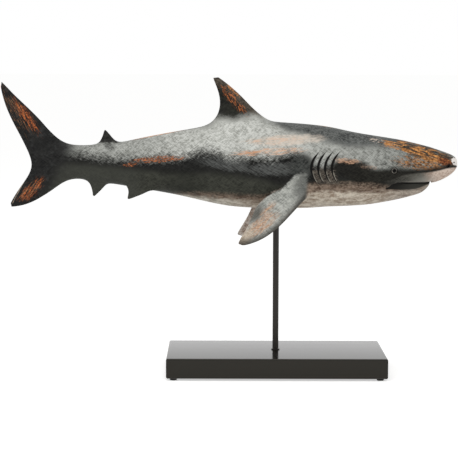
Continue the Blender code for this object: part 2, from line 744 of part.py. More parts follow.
def add_fins(bm, rings, stations):
    def at(x):
        return station_at(stations, x)

    def in_middle(first, last, line, leading, trailing, x, steps, half_root, half_tip):
        middle_fin(bm, middle_root(rings, first, last, line), moved(leading, x),
                   moved(trailing, x), steps, half_root, half_tip)

    rear, front = at(REAR_FINS_REAR), at(REAR_FINS_FRONT)
    in_middle(at(DORSAL_REAR), at(DORSAL_FRONT), TOP, DORSAL_LEADING, DORSAL_TRAILING,
              DORSAL_REAR, 5, DORSAL_HALF_ROOT, DORSAL_HALF_TIP)
    in_middle(rear + 1, front, TOP, SECOND_DORSAL_LEADING, SECOND_DORSAL_TRAILING,
              REAR_FINS_REAR, 2, SECOND_DORSAL_HALF_ROOT, SECOND_DORSAL_HALF_TIP)
    in_middle(rear, front - 1, BOTTOM, ANAL_LEADING, ANAL_TRAILING,
              REAR_FINS_REAR, 2, ANAL_HALF_ROOT, ANAL_HALF_TIP)
    pelvic = Paired(moved(PELVIC_LEADING, PELVIC_REAR), moved(PELVIC_TRAILING, PELVIC_REAR), 2,
                    PELVIC_HALF_ROOT, PELVIC_HALF_TIP, PELVIC_ROOT_Y, PELVIC_ROOT_Z, PELVIC_SPLAY)
    pectoral = Paired(
        moved(PECTORAL_LEADING, PECTORAL_REAR), moved(PECTORAL_TRAILING, PECTORAL_REAR), 5,
        PECTORAL_HALF_ROOT, PECTORAL_HALF_TIP, PECTORAL_ROOT_Y, PECTORAL_ROOT_Z, PECTORAL_SPLAY)
    first_gill = at(GILL_FIRST_X - GILL_HALF_WIDTH)
    for side in (-1, 1):
        root = paired_root(rings, at(PELVIC_REAR), at(PELVIC_FRONT), 8, side)
        paired_fin(bm, root, pelvic, side)
        root = paired_root(rings, at(PECTORAL_REAR), first_gill, 6, side)
        paired_fin(bm, root, pectoral, side)


def turned(name, profile, finish, location, segments=TURN_STEPS):
    """Turn a closed (radius, height) profile about Z."""
    bm = bmesh.new()
    points = [bm.verts.new((radius, 0.0, z)) for radius, z in profile]
    edges = [bm.edges.new((p, points[(i + 1) % len(points)])) for i, p in enumerate(points)]
    bmesh.ops.spin(bm, geom=points + edges, axis=(0, 0, 1), cent=(0, 0, 0),
                   angle=2 * math.pi, steps=segments, use_merge=True)
    bmesh.ops.remove_doubles(bm, verts=bm.verts, dist=1e-6)
    return place(name, bm, finish, location)


def ring_profile(inner, outer, low, high):
    """Rectangle section of a washer or a sleeve, between two diameters."""
    return ((inner / 2, low), (outer / 2, low), (outer / 2, high), (inner / 2, high))


def build_base(finish):
    bm = bmesh.new()
    middle = Vector((ROD_X, 0.0, base_bottom() + BASE_HEIGHT / 2))
    size = Matrix.Diagonal((BASE_LENGTH, BASE_DEPTH, BASE_HEIGHT, 1.0))
    bmesh.ops.create_cube(bm, size=1.0, matrix=Matrix.Translation(middle) @ size)
    bmesh.ops.bevel(bm, geom=bm.edges[:], offset=BASE_EDGE_RADIUS, segments=BASE_EDGE_STEPS,
                    profile=0.5, affect="EDGES")
    base = place("base", bm, finish)
    below, above = base_bottom() - CUT_PAST, base_top() + CUT_PAST
    step = washer_top() + SEAT
    recess = WASHER_DIAMETER / 2 + SPANNER_ROOM
    profile = ((0.0, below), (recess, below), (recess, step),
               (SPIGOT_BORE / 2, step), (SPIGOT_BORE / 2, above), (0.0, above))
    cutter = turned("base_bore", profile, finish, (ROD_X, 0.0, 0.0))
    cutter.hide_render = True
    cutter.display_type = "WIRE"
    bore = base.modifiers.new("bore", "BOOLEAN")
    bore.object = cutter
    bore.operation = "DIFFERENCE"
    bore.solver = "EXACT"
    return base


def build_rod(finish):
    """Full-diameter bar between its shoulders, with a spigot at each end."""
    shoulder = base_top() + SEAT + COLLAR_HEIGHT + SEAT
    top = shoulder + ROD_EXPOSED + ROD_IN_CASTING
    foot = nut_bottom() - SPIGOT_PAST_NUT
    tip = top + SEAT + INSERT_LENGTH - SPIGOT_SHORT_OF_INSERT
    bar, spigot = ROD_DIAMETER / 2, SPIGOT_DIAMETER / 2
    profile = ((0.0, foot), (spigot - END_CHAMFER, foot), (spigot, foot + END_CHAMFER),
               (spigot, shoulder), (bar, shoulder), (bar, top), (spigot, top),
               (spigot, tip - END_CHAMFER), (spigot - END_CHAMFER, tip), (0.0, tip))
    turned("rod", profile, finish, (ROD_X, 0.0, 0.0))


def build_nut(finish):
    bm = bmesh.new()
    low, high = nut_bottom(), nut_bottom() + NUT_HEIGHT
    corner = NUT_ACROSS_FLATS / 2 / math.cos(math.pi / 6)
    loops = []
    for z in (low, high):
        for radius in (corner, SPIGOT_BORE / 2):
            loop = []
            for i in range(NUT_STEPS):
                angle = 2 * math.pi * i / NUT_STEPS
                reach = radius
                if radius == corner:
                    fold = (angle % (math.pi / 3)) - math.pi / 6
                    reach = NUT_ACROSS_FLATS / 2 / math.cos(fold)
                x, y = ROD_X + reach * math.cos(angle), reach * math.sin(angle)
                loop.append(bm.verts.new((x, y, z)))
            loops.append(loop)
    outer_low, inner_low, outer_high, inner_high = loops
    bridge(bm, outer_low, outer_high)
    bridge(bm, outer_high, inner_high)
    bridge(bm, inner_high, inner_low)
    bridge(bm, inner_low, outer_low)
    place("nut", bm, finish)


def build_fixings(steel, brass):
    """Collar on the base, washer in its recess and insert in the casting."""
    collar = base_top() + SEAT
    insert = shark_height() + height(BELLY_LINE, ROD_X) + ROD_IN_CASTING + SEAT
    for name, diameter, low, high, finish in (
        ("foot_collar", COLLAR_DIAMETER, collar, collar + COLLAR_HEIGHT, steel),
        ("washer", WASHER_DIAMETER, washer_top() - WASHER_HEIGHT, washer_top(), steel),
        ("threaded_insert", INSERT_DIAMETER, insert, insert + INSERT_LENGTH, brass),
    ):
        turned(name, ring_profile(SPIGOT_BORE, diameter, low, high), finish, (ROD_X, 0.0, 0.0))


def build_pads(finish):
    reach_x, reach_y = BASE_LENGTH / 2 - PAD_INSET, BASE_DEPTH / 2 - PAD_INSET
    radius = PAD_DIAMETER / 2
    profile = ((0.0, 0.0), (radius - PAD_CHAMFER, 0.0), (radius, PAD_CHAMFER),
               (radius, PAD_HEIGHT), (0.0, PAD_HEIGHT))
    for end, y in (("front", -reach_y), ("rear", reach_y)):
        for side, x in (("left", ROD_X - reach_x), ("right", ROD_X + reach_x)):
            turned("pad_%s_%s" % (end, side), profile, finish, (x, y, 0.0), PAD_STEPS)


def main():
    clear_scene()
    resin = material("patinated_resin", (0.075, 0.080, 0.075), 0.50, 0.0)
    lacquer = material("black_lacquer", (0.012, 0.011, 0.010), 0.30, 0.0)
    dark_steel = material("blackened_steel", (0.020, 0.018, 0.016), 0.35, 0.6)
    zinc = material("zinc_plate", (0.55, 0.56, 0.57), 0.35, 1.0)
    brass = material("brass", (0.62, 0.45, 0.18), 0.35, 1.0)
    rubber = material("black_rubber", (0.015, 0.015, 0.015), 0.80, 0.0)
    build_shark(resin)
    build_base(lacquer)
    build_rod(dark_steel)
    build_fixings(zinc, brass)
    build_nut(zinc)
    build_pads(rubber)


main()
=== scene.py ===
"""Shark figurine on its rod and lacquered base: surface, paint, light and camera.

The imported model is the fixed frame. The casting, the base, the rod with its
collar and the pads are replaced by finer pieces of the same form, and every
finish is painted with nodes from where a point lies on the piece. Metres.
"""

from math import cos, pi, radians, sin

import bpy
from mathutils import Matrix, Vector


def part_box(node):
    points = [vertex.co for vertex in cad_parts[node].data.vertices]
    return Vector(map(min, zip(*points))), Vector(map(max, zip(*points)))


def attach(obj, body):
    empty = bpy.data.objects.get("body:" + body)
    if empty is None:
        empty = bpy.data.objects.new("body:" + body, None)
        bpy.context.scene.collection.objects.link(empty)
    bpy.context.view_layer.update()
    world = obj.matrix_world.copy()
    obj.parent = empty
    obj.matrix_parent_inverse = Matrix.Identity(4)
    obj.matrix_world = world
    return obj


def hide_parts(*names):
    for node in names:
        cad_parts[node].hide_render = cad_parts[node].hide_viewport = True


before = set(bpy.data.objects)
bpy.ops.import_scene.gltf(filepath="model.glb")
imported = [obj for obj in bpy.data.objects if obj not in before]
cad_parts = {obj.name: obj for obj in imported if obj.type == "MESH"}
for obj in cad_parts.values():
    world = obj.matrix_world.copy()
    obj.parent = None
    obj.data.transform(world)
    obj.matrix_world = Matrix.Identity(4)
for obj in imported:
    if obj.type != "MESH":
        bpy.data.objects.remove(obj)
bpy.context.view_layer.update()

# Camera, from the base's vanishing lines: a long lens that looks down a little
LENS = 149.3
SENSOR = 36.0
CAMERA_PLACE = (-0.0113, -2.497, 0.4089)
LOOK_DOWN = radians(5.03)
LOOK_RIGHT = radians(0.25)
CAMERA_ROLL = 0.003

# The line that the shark swims on, and the rod's axis
SWIM_LINE = 0.2712
ROD_X = 0.0616

ORIGIN = (0.0, 0.0, 0.0)


# Finishes


class Tone:
    """A value or colour in a finish. Arithmetic on it adds Math nodes."""

    def __init__(self, coat, socket):
        self.coat = coat
        self.socket = socket

    def maths(self, operation, *values):
        return self.coat.node("ShaderNodeMath", {"operation": operation}, dict(enumerate(values)))

    def __add__(self, other):
        return self.maths("ADD", self, other)

    def __radd__(self, other):
        return self.maths("ADD", other, self)

    def __sub__(self, other):
        return self.maths("SUBTRACT", self, other)

    def __rsub__(self, other):
        return self.maths("SUBTRACT", other, self)

    def __mul__(self, other):
        return self.maths("MULTIPLY", self, other)

    def __rmul__(self, other):
        return self.maths("MULTIPLY", other, self)

    def __truediv__(self, other):
        return self.maths("DIVIDE", self, other)

    def __abs__(self):
        return self.maths("ABSOLUTE", self)

    def scaled(self, factor, shift):
        """The value times a factor, plus a shift."""
        return self.maths("MULTIPLY_ADD", self, factor, shift)

    def larger(self, other):
        return self.maths("MAXIMUM", self, other)

    def smaller(self, other):
        return self.maths("MINIMUM", self, other)


class Coat:
    """One finish: its shader, and the nodes that paint it from the place on the piece."""

    def __init__(self, name, **constants):
        self.material = bpy.data.materials.new(name)
        self.material.use_nodes = True
        self.tree = self.material.node_tree
        self.shader = self.tree.nodes["Principled BSDF"]
        for socket, value in constants.items():
            self.shader.inputs[socket.replace("_", " ")].default_value = value
        self.place = self.node("ShaderNodeTexCoord", {}, {}, "Object")

    def node(self, kind, settings, inputs, output=0):
        """Add a node: its settings first, then the values or links of its sockets."""
        item = self.tree.nodes.new(kind)
        for name, value in settings.items():
            if name == "points":
                self.draw_curve(item, value)
            else:
                setattr(item, name, value)
        for socket, value in inputs.items():
            if isinstance(value, Tone):
                self.tree.links.new(value.socket, item.inputs[socket])
            else:
                item.inputs[socket].default_value = value
        return Tone(self, item.outputs[output])

    def draw_curve(self, item, points):
        """Move a curve's two first points and add the rest."""
        curve = item.mapping.curves[0]
        for place, point in zip(points[:2], curve.points):
            point.location = place
        for place in points[2:]:
            curve.points.new(*place)
        item.mapping.update()

    def set(self, **links):
        """Feed tones to the shader's sockets."""
        for socket, value in links.items():
            self.tree.links.new(value.socket, self.shader.inputs[socket.replace("_", " ")])

    def ramp(self, value, low, high):
        """0 below low, 1 above high, and smooth between."""
        inputs = {"Value": value, "From Min": low, "From Max": high}
        return self.node("ShaderNodeMapRange", {"interpolation_type": "SMOOTHSTEP"}, inputs)

    def mix(self, share, first, second):
        """Colour between two colours."""
        inputs = {0: share, 6: colour(first), 7: colour(second)}
        return self.node("ShaderNodeMix", {"data_type": "RGBA"}, inputs, 2)

    def turned(self, size, place=ORIGIN, turns=ORIGIN):
        """Coordinates of a turned frame, as multiples of its own three sizes."""
        inputs = {"Vector": self.place, "Location": place, "Rotation": turns, "Scale": size}
        return self.node("ShaderNodeMapping", {"vector_type": "TEXTURE"}, inputs)

    def share(self, length, place, turns=ORIGIN):
        """How far a point lies along the first axis of a turned frame, as a share of a length."""
        frame_place = self.turned((length, 1.0, 1.0), place, turns)
        return self.node("ShaderNodeTexGradient", {"gradient_type": "LINEAR"}, {"Vector": frame_place}, "Fac")

    def noise(self, turn, size, detail, rough, bend=0.0, place=ORIGIN):
        """Cloudy pattern, drawn out along a direction that is slanted by some degrees."""
        slanted = self.turned(size, place, (0.0, -radians(turn), 0.0))
        inputs = {"Vector": slanted, "Scale": 1.0, "Detail": detail, "Roughness": rough, "Distortion": bend}
        return self.node("ShaderNodeTexNoise", {}, inputs)

    def emboss(self, height, strength, distance):
        """Feed a height to the shader as fine relief."""
        inputs = {"Strength": strength, "Distance": distance, "Height": height}
        self.set(Normal=self.node("ShaderNodeBump", {}, inputs, "Normal"))


def colour(value):
    """An sRGB colour of three bytes as a linear one, or a tone as it is."""
    if isinstance(value, Tone):
        return value
    shares = [v / 255 for v in value]
    return [v / 12.92 if v <= 0.04045 else ((v + 0.055) / 1.055) ** 2.4 for v in shares] + [1.0]


# Paint of the casting

# Borders between fields of colour on the flank, as (x, z) points from tail to snout
GREY_BORDER = (
    (-0.2484, 0.2880), (-0.2191, 0.2895), (-0.1953, 0.2876), (-0.1689, 0.2846), (-0.1426, 0.2822),
    (-0.1163, 0.2834), (-0.0836, 0.2846), (-0.0667, 0.2860), (-0.0537, 0.2886), (-0.0420, 0.2932),
    (-0.0304, 0.2952), (-0.0213, 0.2940), (-0.0096, 0.2896), (0.0008, 0.2859), (0.0292, 0.2874),
    (0.0550, 0.2862), (0.0679, 0.2894), (0.0808, 0.2925), (0.0938, 0.2889), (0.1054, 0.2787),
    (0.1171, 0.2748), (0.1404, 0.2780), (0.1599, 0.2780), (0.1703, 0.2741), (0.1808, 0.2702),
    (0.2122, 0.2702), (0.2546, 0.2700), (0.2749, 0.2728), (0.2887, 0.2760),
)
BAND_FOOT = (
    (-0.2400, 0.2740), (-0.2085, 0.2747), (-0.1689, 0.2724), (-0.1295, 0.2689), (-0.0902, 0.2655),
    (0.0008, 0.2627), (0.0396, 0.2565), (0.0719, 0.2489), (0.1431, 0.2541), (0.2057, 0.2565),
)
BELLY_BORDER = (
    (-0.0843, 0.2360), (-0.0381, 0.2378), (-0.0121, 0.2373), (0.0139, 0.2363), (0.0425, 0.2352),
    (0.0783, 0.2440), (0.1042, 0.2510), (0.1302, 0.2528), (0.1496, 0.2528), (0.1888, 0.2500),
    (0.2060, 0.2472), (0.2222, 0.2449), (0.2385, 0.2445), (0.2551, 0.2472),
)
CREAM_BORDER = (
    (-0.0843, 0.2370), (-0.0579, 0.2345), (-0.0316, 0.2326), (0.0010, 0.2305), (0.0270, 0.2281),
    (0.0653, 0.2250), (0.0911, 0.2364), (0.1109, 0.2410), (0.1500, 0.2415), (0.1892, 0.2407),
    (0.2089, 0.2432), (0.2498, 0.2434),
)
RIDGE_BORDER = (
    (0.0269, 0.3350), (0.0425, 0.3310), (0.0530, 0.3285), (0.0659, 0.3241), (0.0788, 0.3191),
    (0.0917, 0.3166), (0.1175, 0.3085), (0.1434, 0.3015), (0.1696, 0.2988), (0.1960, 0.3000),
)
DORSAL_BASE = (
    (-0.0313, 0.3258), (-0.0241, 0.3298), (-0.0176, 0.3344), (-0.0071, 0.3358), (0.0034, 0.3340),
    (0.0138, 0.3360), (0.0230, 0.3386), (0.0322, 0.3393), (0.0427, 0.3366),
)
EYE_BAND_FOOT = (
    (0.1887, 0.2553), (0.2057, 0.2565), (0.2189, 0.2603), (0.2281, 0.2634), (0.2414, 0.2653),
    (0.2601, 0.2663), (0.2750, 0.2687), (0.2860, 0.2711),
)
UPPER_LIP = (
    (0.2010, 0.2466), (0.2054, 0.2468), (0.2112, 0.2508), (0.2184, 0.2530), (0.2353, 0.2528),
    (0.2632, 0.2526),
)
LOWER_LIP = (
    (0.2010, 0.2440), (0.2100, 0.2446), (0.2164, 0.2440), (0.2300, 0.2436), (0.2454, 0.2448),
    (0.2632, 0.2500),
)
PECTORAL_LEADING = (
    (0.0090, 0.1745), (0.0340, 0.1770), (0.0490, 0.1852), (0.0638, 0.1972), (0.0765, 0.2104),
    (0.0900, 0.2257), (0.1055, 0.2397),
)
PECTORAL_TRAILING = (
    (0.0098, 0.1790), (0.0165, 0.1905), (0.0235, 0.2012), (0.0285, 0.2122), (0.0325, 0.2220),
    (0.0400, 0.2285), (0.0460, 0.2335), (0.0525, 0.2390), (0.0655, 0.2445), (0.0720, 0.2490),
    (0.0780, 0.2560), (0.0880, 0.2640), (0.1000, 0.2660),
)
DORSAL_LEADING = (
    (-0.0214, 0.3879), (-0.0122, 0.3833), (-0.0043, 0.3774), (0.0141, 0.3616), (0.0325, 0.3452),
    (0.0430, 0.3406),
)

# How light the grey of the back is at each x, from 0 to 1
GREY_LIGHTNESS = (
    (-0.2225, 0.0), (-0.2028, 0.08), (-0.1700, 0.36), (-0.1305, 0.40), (-0.0911, 0.62), (-0.0385, 0.95),
    (0.0010, 1.0), (0.0470, 0.88), (0.0930, 0.65), (0.1190, 0.45), (0.1717, 0.35), (0.2046, 0.15),
    (0.2375, 0.0),
)

# The stretch of the body that drawn curves cover, in x and in z, and half its width in y
CURVE_LEFT, CURVE_LENGTH = -0.31, 0.62
CURVE_LOW, CURVE_HEIGHT = 0.16, 0.24
HALF_SPAN = 0.12

# Gill slits: place of the first, how far they reach and bend forward above and below, their half
# width, and how far out from the middle plane they begin
GILL_FIRST, GILL_PITCH, GILL_COUNT = 0.1055, 0.0089, 4
GILL_MIDDLE, GILL_RISE, GILL_FALL = 0.2722, 0.0205, 0.0190
GILL_BEND_ABOVE, GILL_BEND_BELOW = 0.0100, 0.0066
GILL_BEND_LIMIT = 1.2
GILL_HALF_WIDTH = 0.0019
GILL_SIDE = 0.025

# Pectoral fins: height and half width of the body at their roots, and how fast they spread downwards
PECTORAL_ROOT_Z = SWIM_LINE - 0.029
PECTORAL_ROOT_OUT = 0.047
PECTORAL_SPREAD = 0.31

# Line of the lower tail lobe's rear edge: a point on it and its slope
LOBE_EDGE_X, LOBE_EDGE_Z, LOBE_EDGE_SLOPE = -0.2855, 0.2235, 1.86

# Ovals of paint on the flank: (x, z) of the middle, (half length, half width), turn in degrees
SCUFF_BEHIND = ((-0.0020, 0.2765), (0.0380, 0.0085), -8)
SCUFF_AHEAD = ((0.0560, 0.2710), (0.0400, 0.0090), 2)
DORSAL_STROKES = ((0.0046, 0.3588), (0.0240, 0.0052), -47)
SECOND_FIN_FOOT = ((-0.1580, 0.2990), (0.0100, 0.0060), -40)
UPPER_LOBE_STROKES = ((-0.2668, 0.3370), (0.0260, 0.0060), -54)
UPPER_LOBE_STRAYS = ((-0.2790, 0.3440), (0.0340, 0.0090), -58)
UPPER_LOBE_HAIRS = ((-0.2810, 0.3440), (0.0380, 0.0120), -58)
LOWER_LOBE_STROKES = ((-0.2606, 0.2407), (0.0200, 0.0078), 43)
LOWER_LOBE_HAIRS = ((-0.2620, 0.2390), (0.0210, 0.0080), 43)
SHOULDER_WASH = ((0.0760, 0.3080), (0.0430, 0.0068), 3)
SHOULDER_UPPER = ((0.0580, 0.3070), (0.0400, 0.0050), 3)
SHOULDER_LOWER = ((0.0500, 0.2932), (0.0420, 0.0042), 3)
SHOULDER_TRAIL = ((0.0250, 0.2915), (0.0180, 0.0030), 2)
RUST_STREAK = ((-0.0930, 0.2826), (0.0330, 0.0040), 4)
RUST_STREAK_END = ((-0.1300, 0.2752), (0.0085, 0.0028), 4)
BEHIND_GILLS = ((0.0930, 0.2740), (0.0170, 0.0200), -30)
BLACK_CLOUD = ((0.1590, 0.2700), (0.0250, 0.0112), -7)
CLOUD_TOP = ((0.1510, 0.2816), (0.0170, 0.0038), -4)
CLOUD_FRONT = ((0.1800, 0.2735), (0.0120, 0.0032), -7)
SNOUT_GAPS = ((0.2580, 0.2910), (0.0440, 0.0090), -18)
SNOUT_SIDE = ((0.2500, 0.2775), (0.0340, 0.0085), -7)
SNOUT_TOP = ((0.2600, 0.2885), (0.0420, 0.0085), -19)
HEAD_TOP = ((0.2170, 0.3005), (0.0210, 0.0046), -12)
SNOUT_END = ((0.2820, 0.2792), (0.0100, 0.0046), -22)
NAPE_SCUFF = ((0.1900, 0.3075), (0.0120, 0.0040), -10)
# Painted shade in the middle of the pectoral fin's outer face
PECTORAL_SHADE_PATCH = ((0.0345, 0.2150), (0.0125, 0.0075), 58)
PECTORAL_LOWER = ((0.0370, 0.1970), (0.0300, 0.0084), 34)
PECTORAL_UPPER = ((0.0480, 0.2160), (0.0160, 0.0050), 52)
PECTORAL_TIP = ((0.0170, 0.1810), (0.0180, 0.0070), 45)
# Painted shadow at the root of the pectoral fin
PECTORAL_SHADOW = ((0.0990, 0.2570), (0.0110, 0.0240), -28)
EYE_MIDDLE = (0.2137, 0.2687)
EYE_SOCKET = (EYE_MIDDLE, (0.0050, 0.0040), 0)
EYE_RIM = (EYE_MIDDLE, (0.0034, 0.0034), 0)
EYE_INSIDE = (EYE_MIDDLE, (0.0026, 0.0026), 0)
EYE_BALL = (EYE_MIDDLE, (0.0024, 0.0024), 0)
NOSTRIL = ((0.2862, 0.2740), (0.0034, 0.0022), 35)
SNOUT_TIP = ((0.2965, 0.2790), (0.0064, 0.0046), -35)
TIP_CHIP = ((0.2943, 0.2784), (0.0010, 0.0010), 0)

# Tones, as sRGB bytes. Of two, a pattern or a place decides how far the first gives way to the second.
BAND_BLACK = ((10, 10, 9), (42, 42, 40))
BAND_SCUFF = (104, 106, 104)
LOW_FLANK = ((40, 41, 36), (74, 75, 67))
LOW_FLANK_DARK = (30, 31, 27)
LOW_FLANK_REAR = (68, 69, 64)
# Greys of the back; their lightness is partly painted light from above
GREY_LOW = ((78, 79, 75), (144, 145, 138))
GREY_HIGH = ((162, 164, 158), (224, 225, 219))
TAIL_BLACK = ((12, 12, 12), (46, 46, 45))
TAIL_WORN = (62, 64, 63)
RIDGE_GREY = ((44, 46, 46), (112, 114, 111))
CREST = ((48, 44, 38), (204, 138, 82))
# Pale gold of the painted highlight along the top of the nape
NAPE_GLINT = (206, 166, 128)
FIN_BLACK = ((14, 14, 12), (50, 50, 44))
FIN_FRONT = ((44, 38, 32), (112, 102, 90))
FIN_RUST = ((100, 50, 28), (214, 128, 76))
FIN_RIM = (196, 132, 84)
SECOND_FIN_BLACK = ((16, 16, 15), (56, 56, 53))
TAIL_RUST = ((84, 40, 24), (200, 112, 64))
TAIL_HAIR = (196, 146, 106)
TAIL_EDGE = (168, 152, 136)
SHOULDER_CREAM = ((204, 186, 168), (232, 222, 210))
SHOULDER_PEACH = ((206, 158, 126), (232, 200, 174))
SHOULDER_ORANGE = (198, 146, 112)
STREAK_RUST = ((84, 46, 28), (190, 116, 74))
GILL_GREY = ((28, 29, 28), (80, 82, 79))
CLOUD_BLACK = ((12, 11, 10), (40, 39, 35))
CLOUD_PEACH = ((190, 134, 96), (226, 192, 164))
CLOUD_PALE = (178, 150, 130)
BELLY_BROWN = ((80, 64, 54), (148, 130, 114))
BELLY_CREAM = ((160, 142, 124), (224, 214, 198))
BELLY_REAR = ((164, 156, 142), (222, 216, 204))
CHIN_CREAM = ((136, 122, 110), (198, 186, 172))
SNOUT_GOLD = ((128, 80, 42), (222, 158, 94))
SNOUT_DARK = ((26, 24, 21), (76, 68, 58))
SNOUT_ORANGE = ((72, 50, 34), (182, 130, 84))
SNOUT_RUST = ((70, 34, 20), (146, 84, 50))
NAPE_PALE = (206, 190, 176)
EYE_BAND = ((14, 13, 11), (44, 43, 38))
CHEEK = ((34, 34, 30), (92, 91, 84))
CHEEK_SPECKLE = (146, 142, 134)
CHEEK_PALE = (146, 144, 136)
SNOUT_PINK = ((178, 154, 138), (222, 204, 190))
LIP_EDGE = (156, 152, 144)
JAW_LIP = ((24, 23, 20), (66, 65, 60))
# Black of the painted shadow in the mouth's cleft
CLEFT_SHADOW = (12, 11, 10)
GILL_SHADE = ((34, 31, 28), (112, 104, 94))
# Colour of the painted highlight beside the gill slits
GILL_EDGE_HIGHLIGHT = (148, 143, 132)
SLIT_BLACK = (10, 9, 8)
PECTORAL_GREY = ((124, 126, 121), (196, 197, 190))
# Tone of the painted shade on the pectoral fin
PECTORAL_SHADE_TONE = (74, 71, 65)
PECTORAL_PEACH = ((178, 118, 76), (226, 186, 152))
PECTORAL_CREAM = ((166, 152, 132), (216, 204, 186))
PECTORAL_EDGE = (54, 49, 43)
# Tone of the painted shadow at the pectoral fin's root
PECTORAL_SHADOW_TONE = ((34, 35, 33), (76, 78, 75))
PECTORAL_INSIDE = ((140, 116, 100), (214, 204, 194))
SOCKET_BLACK = (20, 18, 16)
RIM_GREY = (132, 128, 120)
EYE_BLACK = (10, 9, 8)
NOSTRIL_BLACK = (14, 12, 11)
TIP_WHITE = (244, 238, 232)
CHIP_BROWN = (40, 34, 30)

# Soft rims of ovals, as shares of their size
CRISP, SOFT, HAZY = 0.3, 0.6, 0.9


def curve_through(coat, points):
    """Value of a drawn curve above each point's x: points have both numbers as shares."""
    ends = [(0.0, points[0][1]), (1.0, points[-1][1])]
    return coat.node("ShaderNodeFloatCurve", {"points": ends + points}, {"Factor": 1.0, "Value": coat.along})


def border(coat, points):
    """Height of a border above each point's x."""
    drawn = [((x - CURVE_LEFT) / CURVE_LENGTH, (z - CURVE_LOW) / CURVE_HEIGHT) for x, z in points]
    return curve_through(coat, drawn).scaled(CURVE_HEIGHT, CURVE_LOW)


def spot(coat, oval, edge=SOFT):
    """Oval mask on both flanks: 1 inside, with a soft rim."""
    (x, z), (length, width), turn = oval
    rim = 1.0 + edge
    around = coat.turned((length * rim, 10.0, width * rim), (x, 0.0, z), (0.0, -radians(turn), 0.0))
    nearness = coat.node("ShaderNodeTexGradient", {"gradient_type": "SPHERICAL"}, {"Vector": around}, "Fac")
    return coat.ramp(nearness, 0.0, 2 * edge / rim)


class Patina(Coat):
    """The casting's paint, laid field over field on a dark ground."""

    def __init__(self):
        super().__init__("patina_paint", Specular_IOR_Level=0.08, Metallic=0.0)
        self.along = self.share(CURVE_LENGTH, (CURVE_LEFT, 0.0, 0.0))
        self.x = self.along.scaled(CURVE_LENGTH, CURVE_LEFT)
        aside = self.share(2 * HALF_SPAN, (0.0, -HALF_SPAN, 0.0), (0.0, 0.0, pi / 2))
        self.out = abs(aside.scaled(2 * HALF_SPAN, -HALF_SPAN))
        rise = self.share(CURVE_HEIGHT, (0.0, 0.0, CURVE_LOW), (0.0, -pi / 2, 0.0))
        self.z = rise.scaled(CURVE_HEIGHT, CURVE_LOW)
        self.cloud = self.noise(0, (0.022, 0.022, 0.011), 4.0, 0.6)
        self.mottle = self.noise(12, (0.0075, 0.0075, 0.0050), 3.0, 0.6, 0.4, (0.01, 0.0, 0.02))
        self.fine = self.noise(0, (0.0030, 0.0030, 0.0022), 3.0, 0.7)
        self.hatch = self.crosshatch()
        self.blend = (self.mottle + self.fine) * 0.5
        self.speck = self.ramp(self.fine, 0.35, 0.65)
        spread = self.hatch.scaled(4.6, self.fine.scaled(1.9, self.mottle.scaled(1.2, self.cloud * 1.6)))
        self.grain = self.ramp(spread, 3.60, 5.70)
        self.drift = self.hatch.scaled(1.2, self.fine.scaled(0.8, -1.00))

    def crosshatch(self):
        """Fine brush scratches in two slanted directions."""
        size = (0.0080, 0.004, 0.0013)
        rising = self.noise(40, size, 2.0, 0.6, 0.3)
        falling = self.noise(-36, size, 2.0, 0.6, 0.3, (0.03, 0.0, 0.01))
        return (rising + falling) * 0.5

    def strokes(self, turn, length, width, bend=0.5, place=ORIGIN):
        """Pattern of broken brush strokes along a slanted direction."""
        return self.noise(turn, (length, length, width), 3.0, 0.65, bend, place)

    def brushed(self, level, pattern=None, gain=4.0, edge=0.14):
        """Mask of paint dragged on: it covers where its level and the brush's pattern are high."""
        pattern = self.hatch if pattern is None else pattern
        middle = 0.5 + 0.5 * gain
        drag = pattern.scaled(gain, level)
        return self.ramp(drag, middle - edge, middle + edge) * self.ramp(level, 0.0, 0.35)

    def airbrushed(self, level):
        """Mask of thin paint: a soft change with only a little of the scratches in it."""
        return self.ramp(level + self.drift, 0.0, 1.0)

    def over(self, points, soft):
        """Level that rises from 0 to 1 across a border."""
        return (self.z - border(self, points)).scaled(0.5 / soft, 0.5)

    def within(self, low, high, soft):
        """Mask of a stretch along the body."""
        return self.ramp(self.x, low - soft, low + soft) * self.ramp(self.x, high + soft, high - soft)

    def dabs(self, oval, cover, pattern, gain=3.6, edge=0.16):
        """Mask of broken strokes that thin out towards the rim of an oval."""
        return self.brushed(spot(self, oval) * cover, pattern, gain, edge)


def paint_trunk(p):
    """Dark ground, green-grey lower flank, black band, and a light grey back whose lighter top is partly
    painted light from above.
    """
    band = p.mix(p.grain, *BAND_BLACK)
    falling = p.strokes(-28, 0.0130, 0.0016)
    scuffs = spot(p, SCUFF_BEHIND).larger(spot(p, SCUFF_AHEAD)) * 0.58
    scuffed = p.brushed(scuffs, falling * 0.5 + p.hatch * 0.5, gain=2.6, edge=0.4)
    band = p.mix(scuffed * 0.75, band, BAND_SCUFF)
    low = p.mix(p.grain, *LOW_FLANK)
    low = p.mix(p.within(-0.080, -0.040, 0.025) * 0.5, low, LOW_FLANK_DARK)
    low = p.mix(p.ramp(p.x, -0.100, -0.140) * 0.5, low, LOW_FLANK_REAR)
    ground = p.mix(p.airbrushed(p.over(BAND_FOOT, 0.006)), low, band)
    # The grey back's lighter top is partly the grey paint and partly painted light from above.
    light = curve_through(p, [((x - CURVE_LEFT) / CURVE_LENGTH, share) for x, share in GREY_LIGHTNESS])
    grey = p.mix(p.grain, p.mix(light, *GREY_LOW), p.mix(light, *GREY_HIGH))
    coat = p.mix(p.airbrushed(p.over(GREY_BORDER, 0.0095)), ground, grey)
    tail = p.mix(p.grain, *TAIL_BLACK)
    tail = p.mix(p.ramp(p.mottle, 0.52, 0.70) * 0.4, tail, TAIL_WORN)
    start = p.airbrushed(p.ramp(p.x - (p.z - 0.28) * 0.5, -0.196, -0.235))
    return p.mix(start, coat, tail)


